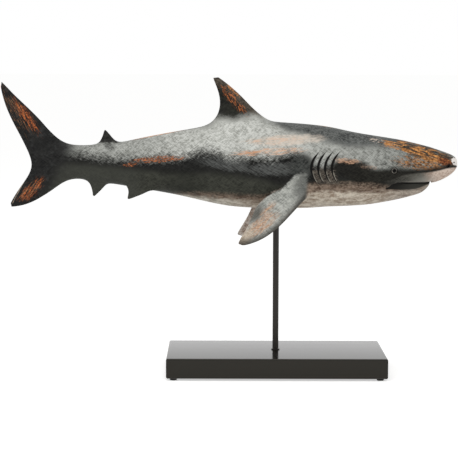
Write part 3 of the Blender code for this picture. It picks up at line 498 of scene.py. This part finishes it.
def paint_ridge(p, coat):
    """Darker blue-grey along the top of the shoulders and head, orange line behind the fin, and a pale gold
    painted highlight on the nape.
    """
    level = p.over(RIDGE_BORDER, 0.0055) * p.ramp(p.x, 0.030, 0.070)
    coat = p.mix(p.airbrushed(level) * p.ramp(p.x, 0.020, 0.050), coat, p.mix(p.grain, *RIDGE_GREY))
    crest = p.ramp(p.out, 0.0072, 0.0020) * p.within(-0.134, -0.032, 0.016) * p.ramp(p.z, 0.298, 0.301)
    bright = p.within(-0.118, -0.070, 0.016) * p.brushed(0.75, p.fine, gain=3.0, edge=0.2)
    coat = p.mix(p.brushed(crest, p.hatch, gain=2.4, edge=0.35), coat, p.mix(bright, *CREST))
    # Painted highlight: a pale gold glint along the top of the nape.
    nape_glint = p.ramp(p.out, 0.0080, 0.0010) * p.within(0.112, 0.138, 0.022) * p.ramp(p.z, 0.30, 0.31)
    return p.mix(p.brushed(nape_glint * 0.6, p.fine, gain=3.0, edge=0.2), coat, NAPE_GLINT)


def paint_shoulder(p, coat):
    """Pale peach strokes over the shoulder."""
    lines = p.strokes(6, 0.0120, 0.0013)
    cream = p.mix(p.fine, *SHOULDER_CREAM)
    peach = p.mix(p.fine, *SHOULDER_PEACH)
    wash = p.brushed(spot(p, SHOULDER_WASH) * 0.80, lines * 0.5 + p.mottle * 0.5, gain=2.2, edge=0.45)
    coat = p.mix(wash * 0.75, coat, cream)
    coat = p.mix(p.dabs(SHOULDER_UPPER, 0.34, lines, edge=0.3) * 0.70, coat, peach)
    coat = p.mix(p.dabs(SHOULDER_LOWER, 0.62, lines, edge=0.3) * 0.85, coat, peach)
    return p.mix(p.dabs(SHOULDER_TRAIL, 0.5, lines, edge=0.2) * 0.8, coat, SHOULDER_ORANGE)


def paint_flank(p, coat):
    """Rust streak behind the middle, and the orange band and black cloud by the gills."""
    rust = p.mix(p.speck, *STREAK_RUST)
    ragged = p.strokes(4, 0.0042, 0.0014, 0.8)
    coat = p.mix(p.dabs(RUST_STREAK, 0.62, ragged), coat, rust)
    coat = p.mix(p.dabs(RUST_STREAK_END, 0.60, ragged), coat, rust)
    behind = p.airbrushed(spot(p, BEHIND_GILLS) * 1.5 - 0.55)
    coat = p.mix(behind, coat, p.mix(p.grain, *GILL_GREY))
    black = p.mix(p.grain, *CLOUD_BLACK)
    billow = p.noise(0, (0.0095, 0.0095, 0.0075), 3.0, 0.55, 0.5, (0.01, 0.0, 0.0))
    cloud = p.brushed(spot(p, BLACK_CLOUD) * 1.15, billow * 0.5 + p.hatch * 0.5, gain=2.6, edge=0.45)
    coat = p.mix(cloud, coat, black)
    peach = p.mix(p.fine, *CLOUD_PEACH)
    coat = p.mix(p.dabs(CLOUD_TOP, 0.56, ragged, 3.0, 0.35) * 0.75, coat, peach)
    return p.mix(p.dabs(CLOUD_FRONT, 0.50, ragged, 3.0, 0.35) * 0.55, coat, CLOUD_PALE)


def paint_fins(p, coat):
    """Dark first and second dorsal fins, with rust strokes down the first."""
    depth = border(p, DORSAL_LEADING) - p.z
    front = p.ramp(depth, 0.0125, 0.0040) * 0.75
    dark = p.mix(front, p.mix(p.grain, *FIN_BLACK), p.mix(p.grain, *FIN_FRONT))
    fin = p.airbrushed(p.over(DORSAL_BASE, 0.0075)) * p.within(-0.040, 0.0450, 0.004)
    coat = p.mix(fin, coat, dark)
    slanted = p.strokes(-54, 0.0060, 0.0014, 0.9)
    coat = p.mix(p.dabs(DORSAL_STROKES, 0.47, slanted), coat, p.mix(p.speck, *FIN_RUST))
    rim = p.ramp(depth, 0.0016, 0.0006) * p.within(-0.0040, 0.0120, 0.004) * p.ramp(p.z, 0.350, 0.356)
    coat = p.mix(p.brushed(rim * 0.6, p.fine, gain=3.0, edge=0.2) * 0.7, coat, FIN_RIM)
    second = p.within(-0.1820, -0.1440, 0.002) * p.ramp(p.z, 0.2985, 0.3065)
    second = second.larger(spot(p, SECOND_FIN_FOOT) * 0.55)
    return p.mix(p.brushed(second, gain=2.0, edge=0.3), coat, p.mix(p.grain, *SECOND_FIN_BLACK))


def paint_tail(p, coat):
    """Rust strokes and pale hairs along both lobes, and a worn rear edge on the lower one."""
    rust = p.mix(p.speck, *TAIL_RUST)
    upper = p.strokes(-60, 0.0105, 0.0011, 0.6)
    coat = p.mix(p.dabs(UPPER_LOBE_STROKES, 0.57, upper, 4.2), coat, rust)
    coat = p.mix(p.dabs(UPPER_LOBE_STRAYS, 0.12, upper, 4.2), coat, rust)
    lower = p.strokes(50, 0.0095, 0.0011, 0.6, (0.05, 0.0, 0.02))
    coat = p.mix(p.dabs(LOWER_LOBE_STROKES, 0.48, lower, 4.2), coat, rust)
    hairs = p.strokes(-62, 0.0120, 0.0008, 0.5, (0.01, 0.0, 0.03))
    coat = p.mix(p.dabs(UPPER_LOBE_HAIRS, 0.22, hairs, 3.4, 0.1) * 0.65, coat, TAIL_HAIR)
    hairs = p.strokes(52, 0.0100, 0.0008, 0.5, (0.02, 0.0, 0.05))
    coat = p.mix(p.dabs(LOWER_LOBE_HAIRS, 0.25, hairs, 3.4, 0.1) * 0.75, coat, TAIL_HAIR)
    off_edge = abs(p.z - LOBE_EDGE_Z - (p.x - LOBE_EDGE_X) * LOBE_EDGE_SLOPE)
    worn = p.ramp(off_edge, 0.0022, 0.0008) * p.within(-0.286, -0.262, 0.003)
    return p.mix(p.brushed(worn * 0.8, p.fine, gain=2.5, edge=0.2) * 0.7, coat, TAIL_EDGE)


def paint_head(p, coat):
    """Scratchy orange over the head and snout."""
    gold = p.mix(p.speck, *SNOUT_GOLD)
    lines = p.strokes(-15, 0.0130, 0.0015, 0.2)
    gaps = p.strokes(-15, 0.0120, 0.0022, 0.3, (0.07, 0.0, 0.01))
    dark = p.brushed(spot(p, SNOUT_GAPS) * 0.95, gaps, gain=2.6, edge=0.3)
    coat = p.mix(dark, coat, p.mix(p.grain, *SNOUT_DARK))
    scratch = p.strokes(-8, 0.0065, 0.0011, 0.25, (0.04, 0.0, 0.02))
    coat = p.mix(p.dabs(SNOUT_SIDE, 0.62, scratch), coat, p.mix(p.speck, *SNOUT_ORANGE))
    coat = p.mix(p.dabs(SNOUT_TOP, 0.58, lines), coat, gold)
    coat = p.mix(p.dabs(HEAD_TOP, 0.52, lines), coat, gold)
    rust = p.dabs(SNOUT_END, 0.95, scratch, gain=2.4, edge=0.3) * 0.9
    coat = p.mix(rust, coat, p.mix(p.speck, *SNOUT_RUST))
    return p.mix(p.dabs(NAPE_SCUFF, 0.30, p.fine, gain=3.0), coat, NAPE_PALE)


def paint_face(p, coat):
    """Dark band through the eye, grey cheek that pales forward, pinkish underside of the snout."""
    band = (1 - p.over(GREY_BORDER, 0.0040)) * p.ramp(p.x, 0.150, 0.185)
    band = p.brushed(band, p.fine * 0.5 + p.hatch * 0.5, gain=2.0, edge=0.45)
    coat = p.mix(band, coat, p.mix(p.grain, *EYE_BAND))
    under = border(p, EYE_BAND_FOOT) - p.z
    cheek = p.mix(p.ramp(p.x, 0.216, 0.256), *CHEEK)
    cheek = p.mix(p.grain * 0.25, cheek, CHEEK_SPECKLE)
    cheek = p.mix(p.ramp(under, 0.0010, 0.0110) * p.ramp(p.x, 0.228, 0.262), cheek, CHEEK_PALE)
    pink = p.mix(p.ramp(p.fine + p.cloud * 0.5, 0.55, 0.90), *SNOUT_PINK)
    cheek = p.mix(p.ramp(p.x - under * 0.4, 0.246, 0.270), cheek, pink)
    return p.mix(p.ramp(under, -0.0012, 0.0016) * p.ramp(p.x, 0.196, 0.216), coat, cheek)


def paint_belly(p, coat):
    """Cream belly and chin, mottled brown towards the flank."""
    blotch = p.noise(2, (0.0140, 0.010, 0.0048), 4.0, 0.65, 0.3, (0.02, 0.0, 0.0))
    blotch = p.ramp(blotch + (p.fine - 0.5) * 0.5, 0.34, 0.66)
    cream = p.mix(blotch, *BELLY_CREAM)
    cream = p.mix(p.ramp(p.x, 0.05, -0.03), cream, p.mix(blotch, *BELLY_REAR))
    cream = p.mix(p.ramp(p.x, 0.185, 0.225), cream, p.mix(blotch, *CHIN_CREAM))
    upper = p.brushed(p.over(CREAM_BORDER, 0.0045), p.blend, gain=2.6, edge=0.4)
    field = p.mix(upper, cream, p.mix(blotch, *BELLY_BROWN))
    level = (1 - p.over(BELLY_BORDER, 0.0056)) * p.ramp(p.x, -0.088, -0.062)
    return p.mix(p.brushed(level, p.blend, gain=1.8, edge=0.55), coat, field)


def paint_mouth(p, coat):
    """Black painted shadow in the cleft under the upper lip, grey jaw lip below it, faint light edge above.
    """
    ahead = p.within(0.2030, 0.2640, 0.0012)
    above = p.z - border(p, UPPER_LIP)
    edge = (1 - p.ramp(abs(above - 0.0014), 0.0003, 0.0014)) * ahead * p.ramp(p.x, 0.214, 0.240)
    coat = p.mix(edge * 0.3, coat, LIP_EDGE)
    inside = p.ramp(above, 0.0006, -0.0004) * p.ramp(p.z - border(p, LOWER_LIP), -0.0008, 0.0008) * ahead
    lip = p.mix(p.ramp(p.x, 0.208, 0.250), *JAW_LIP)
    # Painted shadow: black in the cleft just under the upper lip.
    lip = p.mix(p.ramp(above, -0.0032, -0.0010), lip, CLEFT_SHADOW)
    return p.mix(inside, coat, lip)


def paint_gills(p, coat):
    """Black slits, widest above the middle, dark shading between their lower halves, and a painted highlight
    beside each lower half, towards the snout.
    """
    up = ((p.z - GILL_MIDDLE) / GILL_RISE).larger(0.0)
    down = ((GILL_MIDDLE - p.z) / GILL_FALL).larger(0.0)
    bend_above = up * up.smaller(GILL_BEND_LIMIT) * GILL_BEND_ABOVE
    bend = bend_above + down * down.smaller(GILL_BEND_LIMIT) * GILL_BEND_BELOW
    number = (p.x - bend - (GILL_FIRST - GILL_PITCH / 2)) / GILL_PITCH
    side = p.ramp(p.out, GILL_SIDE, GILL_SIDE + 0.005)
    inside = p.ramp(number, 0.0, 0.02) * p.ramp(number, GILL_COUNT, GILL_COUNT - 0.02) * side
    across = (number.maths("FRACT", number) - 0.5) * GILL_PITCH
    between = p.ramp(number, 0.4, 0.7) * p.ramp(number, GILL_COUNT + 0.4, GILL_COUNT - 0.6) * side
    shade = between * p.ramp(p.z, GILL_MIDDLE + 0.008, GILL_MIDDLE - 0.008) * p.ramp(p.z, 0.2490, 0.2545)
    shaded = p.brushed(shade * 0.85, p.fine, gain=2.4, edge=0.3)
    coat = p.mix(shaded, coat, p.mix(p.grain, *GILL_SHADE))
    thin = p.ramp(down, 0.0, 0.45) * 0.55 + p.ramp(down, 0.6, 1.05) * 0.40
    half = (p.ramp(up, 1.15, 0.60) - thin) * GILL_HALF_WIDTH
    slit = (1 - p.ramp(abs(across) / half.larger(0.00002), 0.60, 1.30)) * p.ramp(half, 0.00003, 0.00015)
    # Painted highlight: a light line beside the lower half of each slit, towards the snout.
    light = 1 - p.ramp(abs(across - 0.0016) / 0.0008, 0.4, 1.2)
    light = light * p.ramp(down, 0.05, 0.3) * p.ramp(down, 1.05, 0.8)
    lit = p.brushed(light * inside * 0.85, p.fine, gain=2.4, edge=0.3)
    coat = p.mix(lit * 0.75, coat, GILL_EDGE_HIGHLIGHT)
    return p.mix(slit * inside, coat, SLIT_BLACK)


def paint_pectorals(p, coat):
    """Light grey outer faces with peach strokes and a patch of painted shade, painted shadow at their roots,
    cream inner faces, dark leading edges.
    """
    outside = p.out - (PECTORAL_ROOT_OUT + PECTORAL_SPREAD * (PECTORAL_ROOT_Z - p.z))
    behind = border(p, PECTORAL_TRAILING) - p.z
    rooted = p.airbrushed(behind / 0.0050 + 0.5)
    fin = p.ramp(outside, -0.0095, -0.0060) * p.within(-0.01, 0.1000, 0.003) * rooted
    grey = p.mix(p.grain, *PECTORAL_GREY)
    lines = p.strokes(42, 0.0110, 0.0014, 0.4)
    # Painted shade: a dark patch in the middle of the fin's outer face.
    fin_shade = spot(p, PECTORAL_SHADE_PATCH, HAZY) * 0.85
    fin_shade = p.brushed(fin_shade, lines * 0.5 + p.hatch * 0.5, gain=2.0, edge=0.55)
    grey = p.mix(fin_shade * 0.85, grey, PECTORAL_SHADE_TONE)
    dragged = p.dabs(PECTORAL_LOWER, 0.56, lines, 2.6, 0.5)
    dragged = dragged.larger(p.dabs(PECTORAL_UPPER, 0.50, lines, 2.6, 0.5))
    grey = p.mix(dragged * 0.80, grey, p.mix(p.speck, *PECTORAL_PEACH))
    grey = p.mix(spot(p, PECTORAL_TIP) * 0.8, grey, p.mix(p.grain, *PECTORAL_CREAM))
    edge = p.z - border(p, PECTORAL_LEADING)
    grey = p.mix(p.ramp(edge, 0.0130, 0.0002) * 0.85, grey, PECTORAL_EDGE)
    # Painted shadow where the fin's root meets the body.
    shadow = p.brushed(spot(p, PECTORAL_SHADOW, HAZY), gain=3.0, edge=0.4)
    grey = p.mix(shadow * 0.7, grey, p.mix(p.grain, *PECTORAL_SHADOW_TONE))
    inner = p.mix(p.ramp(p.fine + p.cloud, 0.80, 1.15), *PECTORAL_INSIDE)
    face = p.mix(p.ramp(outside, -0.0012, 0.0008), inner, grey)
    return p.mix(fin, coat, face)


def paint_marks(p, coat):
    """Eyes, nostrils and a white patch with a dark chip on the tip of the snout."""
    coat = p.mix(spot(p, EYE_SOCKET, CRISP), coat, SOCKET_BLACK)
    ring = spot(p, EYE_RIM, 0.12) * (1 - spot(p, EYE_INSIDE, 0.16))
    coat = p.mix(ring * p.brushed(0.62, p.fine, gain=2.0, edge=0.3), coat, RIM_GREY)
    coat = p.mix(spot(p, EYE_BALL, 0.2), coat, EYE_BLACK)
    coat = p.mix(spot(p, NOSTRIL, CRISP), coat, NOSTRIL_BLACK)
    # A white patch over the snout's tip, with a dark chip in it.
    worn = p.brushed(spot(p, SNOUT_TIP, CRISP) * 0.9, p.fine, gain=2.0, edge=0.3)
    coat = p.mix(worn, coat, TIP_WHITE)
    return p.mix(spot(p, TIP_CHIP, 0.4), coat, CHIP_BROWN)


def patina():
    """All of the casting's paint, in the order in which it is laid."""
    p = Patina()
    coat = paint_trunk(p)
    for layer in (paint_ridge, paint_shoulder, paint_flank, paint_fins, paint_tail, paint_head,
                  paint_face, paint_belly, paint_mouth, paint_gills, paint_pectorals, paint_marks):
        coat = layer(p, coat)
    p.set(Base_Color=coat)
    p.set(Roughness=0.50 + (p.hatch - 0.5) * 0.3 + (p.fine - 0.5) * 0.12)
    p.emboss(p.hatch * 0.6 + p.fine * 0.4, 0.4, 0.0006)
    return p.material


# Finishes of the stand

# The rings that a turning tool leaves, as radians of their wave per metre from the axis
TOOL_RINGS = 9000.0


def lacquer():
    """Black satin lacquer with a faint rubbed grain."""
    c = Coat("satin_lacquer", IOR=1.45, Specular_IOR_Level=0.40, Specular_Tint=(1.0, 0.95, 0.84, 1.0))
    grain = c.noise(0, (0.060, 0.0016, 0.0030), 3.0, 0.6)
    dust = c.noise(0, (0.004, 0.004, 0.004), 3.0, 0.6)
    c.set(Base_Color=c.mix(grain, (7, 6, 4), (16, 14, 10)))
    c.set(Roughness=0.09 + grain * 0.05 + dust * 0.05)
    c.emboss(grain * 0.7 + dust * 0.3, 0.05, 0.0002)
    return c.material


def blackened_steel():
    """Rod and collar: blackened steel with draw lines along the bar."""
    c = Coat("blackened_rod", Metallic=0.30, IOR=1.5, Specular_IOR_Level=0.40)
    lines = c.noise(0, (0.0006, 0.0006, 0.030), 2.0, 0.5)
    wear = c.noise(0, (0.006, 0.006, 0.010), 3.0, 0.6)
    c.set(Base_Color=c.mix(wear * lines, (22, 19, 15), (58, 52, 46)))
    c.set(Roughness=0.26 + lines * 0.14)
    c.emboss(lines, 0.15, 0.0001)
    return c.material


def bright_metal(name, first, second, roughness):
    """Plated or turned fixings, with rings from the tool and a little tarnish."""
    c = Coat(name, Metallic=1.0)
    from_axis = c.turned((1.0, 1.0, 1e6), (ROD_X, 0.0, 0.0))
    radius = c.node("ShaderNodeVectorMath", {"operation": "LENGTH"}, {0: from_axis}, "Value")
    turns = radius * TOOL_RINGS
    rings = turns.maths("SINE", turns)
    tarnish = c.noise(0, (0.003, 0.003, 0.003), 3.0, 0.6)
    c.set(Base_Color=c.mix(tarnish, first, second))
    c.set(Roughness=roughness + tarnish * 0.15)
    c.emboss(rings, 0.1, 0.00005)
    return c.material


def rubber():
    """Dark grey rubber of the pads, finely grained."""
    c = Coat("pad_rubber", Specular_IOR_Level=0.3)
    grain = c.noise(0, (0.0008, 0.0008, 0.0008), 3.0, 0.6)
    c.set(Base_Color=c.mix(grain, (26, 25, 23), (48, 46, 42)))
    c.set(Roughness=0.65 + grain * 0.25)
    c.emboss(grain, 0.3, 0.0002)
    return c.material


# Modelling steps

# Points closer than this are merged, and edges sharper than this stay sharp when shaded
MERGE = 0.00001
SMOOTH_ANGLE = radians(35)


def nothing_selected():
    for item in bpy.context.selected_objects:
        item.select_set(False)


def only(piece):
    """Select one piece alone and make it the active one."""
    nothing_selected()
    piece.select_set(True)
    bpy.context.view_layer.objects.active = piece


def edit(piece, *steps):
    """Run mesh operators on one piece, each on all of it unless it selects for itself."""
    only(piece)
    bpy.ops.object.mode_set(mode="EDIT")
    for step in steps:
        step()
    bpy.ops.object.mode_set(mode="OBJECT")


def select_all():
    bpy.ops.mesh.select_all(action="SELECT")


def add_mesh(name, mesh):
    piece = bpy.data.objects.new(name, mesh)
    bpy.context.scene.collection.objects.link(piece)
    return piece


def shape(piece, kind, **settings):
    """Apply one modifier to the active piece."""
    modifier = piece.modifiers.new(kind.lower(), kind)
    for name, value in settings.items():
        setattr(modifier, name, value)
    bpy.ops.object.modifier_apply(modifier=modifier.name)


def finished(piece, name, material, node):
    """Name and coat a piece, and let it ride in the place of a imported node."""
    piece.name = name
    piece.data.materials.clear()
    piece.data.materials.append(material)
    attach(piece, "root")
    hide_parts(node)


# The casting: how flat two facets are to make one face, how its lips stay sharp, how many times it
# is rounded, and the share of its faces that is kept
FLAT_PAIR = radians(40)
LIP_ANGLE = radians(62)
LIP_CREASE = 0.7
ROUNDING = 2
THINNING = 0.94


def casting():
    """The shark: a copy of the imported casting, its facets joined and rounded twice more."""
    piece = add_mesh("shark_casting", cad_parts["shark"].data.copy())

    def join_facets():
        bpy.ops.mesh.customdata_custom_splitnormals_clear()
        select_all()
        bpy.ops.mesh.remove_doubles(threshold=MERGE)
        bpy.ops.mesh.tris_convert_to_quads(face_threshold=FLAT_PAIR, shape_threshold=FLAT_PAIR)

    def keep_lips():
        bpy.ops.mesh.select_all(action="DESELECT")
        bpy.ops.mesh.select_mode(type="EDGE")
        bpy.ops.mesh.edges_select_sharp(sharpness=LIP_ANGLE)
        bpy.ops.transform.edge_crease(value=LIP_CREASE)

    edit(piece, join_facets, keep_lips)
    piece.data.shade_smooth()
    shape(piece, "SUBSURF", levels=ROUNDING, render_levels=ROUNDING)
    shape(piece, "DECIMATE", ratio=THINNING)
    finished(piece, "shark_casting", patina(), "shark")


# The stand: roundings, the rod's turned ends, its bore and the washer's recess
BASE_ROUNDING, BASE_ROUNDING_STEPS = 0.0022, 10
SEAT_GAP = 0.0003
SPIGOT_RADIUS, SPIGOT_CHAMFER = 0.003, 0.0006
BAR_CORNER = 0.0002
BORE_RADIUS = SPIGOT_RADIUS + SEAT_GAP
RECESS_MARGIN = 0.002
COLLAR_FOOT_ROUNDING, COLLAR_TOP_ROUNDING = 0.0001, 0.0004
PAD_FOOT_ROUNDING, PAD_TOP_ROUNDING = 0.0005, 0.0001
ROUNDING_STEPS = 6
ROD_STEPS, PAD_STEPS = 96, 64


def turned_piece(name, profile, material, node, steps=ROD_STEPS):
    """A round piece spun about its own axis from its (radius, height) profile."""
    low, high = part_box(node)
    middle = (low + high) / 2
    mesh = bpy.data.meshes.new(name)
    points = [(middle.x + radius, middle.y, z) for radius, z in profile]
    mesh.from_pydata(points, [(i, i + 1) for i in range(len(points) - 1)], [])
    piece = add_mesh(name, mesh)

    def spin():
        select_all()
        bpy.ops.mesh.spin(steps=steps, angle=2 * pi, center=(middle.x, middle.y, 0.0), axis=(0.0, 0.0, 1.0))
        select_all()
        bpy.ops.mesh.remove_doubles(threshold=MERGE)
        bpy.ops.mesh.normals_make_consistent(inside=False)

    edit(piece, spin)
    only(piece)
    bpy.ops.object.shade_smooth_by_angle(angle=SMOOTH_ANGLE)
    finished(piece, name, material, node)


def rounded(radius_in, radius_out, low, high, round_low, round_high):
    """Section of a ring or disc whose two outer corners are rounded."""
    profile = [(radius_in, low)]
    for turn, size, centre in ((-pi / 2, round_low, low + round_low), (0.0, round_high, high - round_high)):
        for i in range(ROUNDING_STEPS + 1):
            angle = turn + pi / 2 * i / ROUNDING_STEPS
            profile.append((radius_out - size + size * cos(angle), centre + size * sin(angle)))
    return profile + [(radius_in, high)]


def cutter(radius, depth, height):
    """A round cutting tool on the rod's axis."""
    nothing_selected()
    place = (ROD_X, 0.0, height)
    bpy.ops.mesh.primitive_cylinder_add(vertices=ROD_STEPS, radius=radius, depth=depth, location=place)
    return bpy.context.active_object


def base_block():
    """The lacquered block: all edges rounded, bored for the spigot and recessed for the washer."""
    low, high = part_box("base")
    nothing_selected()
    bpy.ops.mesh.primitive_cube_add(size=1.0, location=(low + high) / 2, scale=high - low)
    base = bpy.context.active_object
    only(base)
    bpy.ops.object.transform_apply(location=True, rotation=True, scale=True)
    shape(base, "BEVEL", width=BASE_ROUNDING, segments=BASE_ROUNDING_STEPS, limit_method="NONE")
    base.data.shade_smooth()
    washer_low, washer_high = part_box("washer")
    recess = (washer_high.x - washer_low.x) / 2 + RECESS_MARGIN
    tall = high.z - low.z
    bore = cutter(BORE_RADIUS, 2 * tall, low.z + tall / 2)
    pocket = cutter(recess, 2 * (washer_high.z + SEAT_GAP - low.z), low.z)
    only(base)
    for tool in (bore, pocket):
        shape(base, "BOOLEAN", object=tool, operation="DIFFERENCE", solver="EXACT")
        bpy.data.objects.remove(tool)
    bpy.ops.object.shade_smooth_by_angle(angle=SMOOTH_ANGLE)
    finished(base, "base_block", lacquer(), "base")


def rod_and_collar():
    """The rod, turned down at both ends, and the collar that its lower shoulder stands on."""
    steel = blackened_steel()
    low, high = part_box("rod")
    collar_low, collar_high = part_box("foot_collar")
    insert_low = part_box("threaded_insert")[0]
    bar = (high.x - low.x) / 2
    foot = collar_high.z + SEAT_GAP
    top = insert_low.z - SEAT_GAP
    profile = [
        (0.0, low.z), (SPIGOT_RADIUS - SPIGOT_CHAMFER, low.z), (SPIGOT_RADIUS, low.z + SPIGOT_CHAMFER),
        (SPIGOT_RADIUS, foot), (bar - BAR_CORNER, foot), (bar, foot + BAR_CORNER),
        (bar, top - BAR_CORNER), (bar - BAR_CORNER, top), (SPIGOT_RADIUS, top),
        (SPIGOT_RADIUS, high.z - SPIGOT_CHAMFER), (SPIGOT_RADIUS - SPIGOT_CHAMFER, high.z), (0.0, high.z),
    ]
    turned_piece("rod_bar", profile, steel, "rod")
    ring = rounded(BORE_RADIUS, (collar_high.x - collar_low.x) / 2, collar_low.z, collar_high.z,
                   COLLAR_FOOT_ROUNDING, COLLAR_TOP_ROUNDING)
    turned_piece("rod_collar", ring + [ring[0]], steel, "foot_collar")


def pads():
    """Four round rubber pads."""
    soft = rubber()
    for corner in ("front_left", "front_right", "rear_left", "rear_right"):
        node = "pad_" + corner
        low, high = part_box(node)
        profile = rounded(0.0, (high.x - low.x) / 2, low.z, high.z, PAD_FOOT_ROUNDING, PAD_TOP_ROUNDING)
        turned_piece(node + "_disc", profile, soft, node, PAD_STEPS)


def hidden_fixings():
    """Washer, nut and insert keep their packed form with a plated or brass finish."""
    zinc = bright_metal("zinc_plate", (176, 178, 182), (204, 206, 208), 0.28)
    brass = bright_metal("turned_brass", (188, 150, 84), (214, 176, 108), 0.26)
    for node, finish in (("washer", zinc), ("nut", zinc), ("threaded_insert", brass)):
        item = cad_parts[node]
        item.data.materials.clear()
        item.data.materials.append(finish)


# Studio

# The point that the soft boxes face, and how strongly the white surroundings light the figurine
LIT_POINT = (0.0, 0.0, 0.25)
WORLD_LIGHT = 0.58

# Soft boxes: name, place, two sides, power in watts
LAMPS = (
    ("overhead_box", (-0.2, -0.3, 2.2), (1.8, 1.4), 12.0),
    ("front_box", (-1.6, -2.6, 1.6), (1.6, 1.2), 19.0),
    ("side_box", (2.2, -1.6, 1.3), (1.0, 1.0), 8.0),
)

# Floor: half its side, its colour, and how far it is lifted towards white where it is seen
FLOOR_HALF = 60.0
FLOOR_PALE = (236, 236, 235)
FLOOR_LIFT = 0.50


def white_when_seen(tree, strength_socket, strength_seen, strength_lit):
    """Emission that differs for what is seen or mirrored and for what it lights."""
    path = tree.nodes.new("ShaderNodeLightPath")
    seen = path.outputs["Is Camera Ray"]
    for ray in ("Is Glossy Ray", "Is Transmission Ray"):
        either = tree.nodes.new("ShaderNodeMath")
        either.operation = "MAXIMUM"
        tree.links.new(seen, either.inputs[0])
        tree.links.new(path.outputs[ray], either.inputs[1])
        seen = either.outputs[0]
    strength = tree.nodes.new("ShaderNodeMapRange")
    strength.inputs["To Min"].default_value = strength_lit
    strength.inputs["To Max"].default_value = strength_seen
    tree.links.new(seen, strength.inputs["Value"])
    tree.links.new(strength.outputs["Result"], strength_socket)


def studio():
    """White surroundings and three soft boxes."""
    world = bpy.data.worlds.new("studio")
    world.use_nodes = True
    bpy.context.scene.world = world
    sky = world.node_tree.nodes["Background"]
    sky.inputs["Color"].default_value = (1.0, 1.0, 1.0, 1.0)
    white_when_seen(world.node_tree, sky.inputs["Strength"], 1.0, WORLD_LIGHT)
    for name, place, size, power in LAMPS:
        lamp = bpy.data.lights.new(name, "AREA")
        lamp.shape = "RECTANGLE"
        lamp.size, lamp.size_y = size
        lamp.energy = power
        item = bpy.data.objects.new(name, lamp)
        item.location = place
        item.rotation_euler = (Vector(LIT_POINT) - Vector(place)).to_track_quat("-Z", "Y").to_euler()
        item.visible_camera = False
        bpy.context.scene.collection.objects.link(item)


def floor():
    """Pale floor that is lifted towards white where it is seen, and keeps the shadow."""
    nothing_selected()
    bpy.ops.mesh.primitive_plane_add(size=2 * FLOOR_HALF, location=ORIGIN)
    sheet = bpy.context.active_object
    sheet.name = "studio_floor"
    c = Coat("pale_floor", Roughness=0.9, Specular_IOR_Level=0.0, Base_Color=colour(FLOOR_PALE),
             Emission_Color=(1.0, 1.0, 1.0, 1.0))
    white_when_seen(c.tree, c.shader.inputs["Emission Strength"], FLOOR_LIFT, 0.0)
    sheet.data.materials.append(c.material)


def camera():
    """The photograph's viewpoint."""
    lens = bpy.data.cameras.new("photo_camera")
    lens.lens = LENS
    lens.sensor_width = SENSOR
    item = bpy.data.objects.new("photo_camera", lens)
    turn = Matrix.Rotation(-LOOK_RIGHT, 3, "Z") @ Matrix.Rotation(pi / 2 - LOOK_DOWN, 3, "X")
    item.rotation_euler = (turn @ Matrix.Rotation(CAMERA_ROLL, 3, "Z")).to_euler()
    item.location = CAMERA_PLACE
    bpy.context.scene.collection.objects.link(item)
    bpy.context.scene.camera = item


bpy.context.scene.view_settings.view_transform = "Standard"
camera()
casting()
base_block()
rod_and_collar()
pads()
hidden_fixings()
floor()
studio()
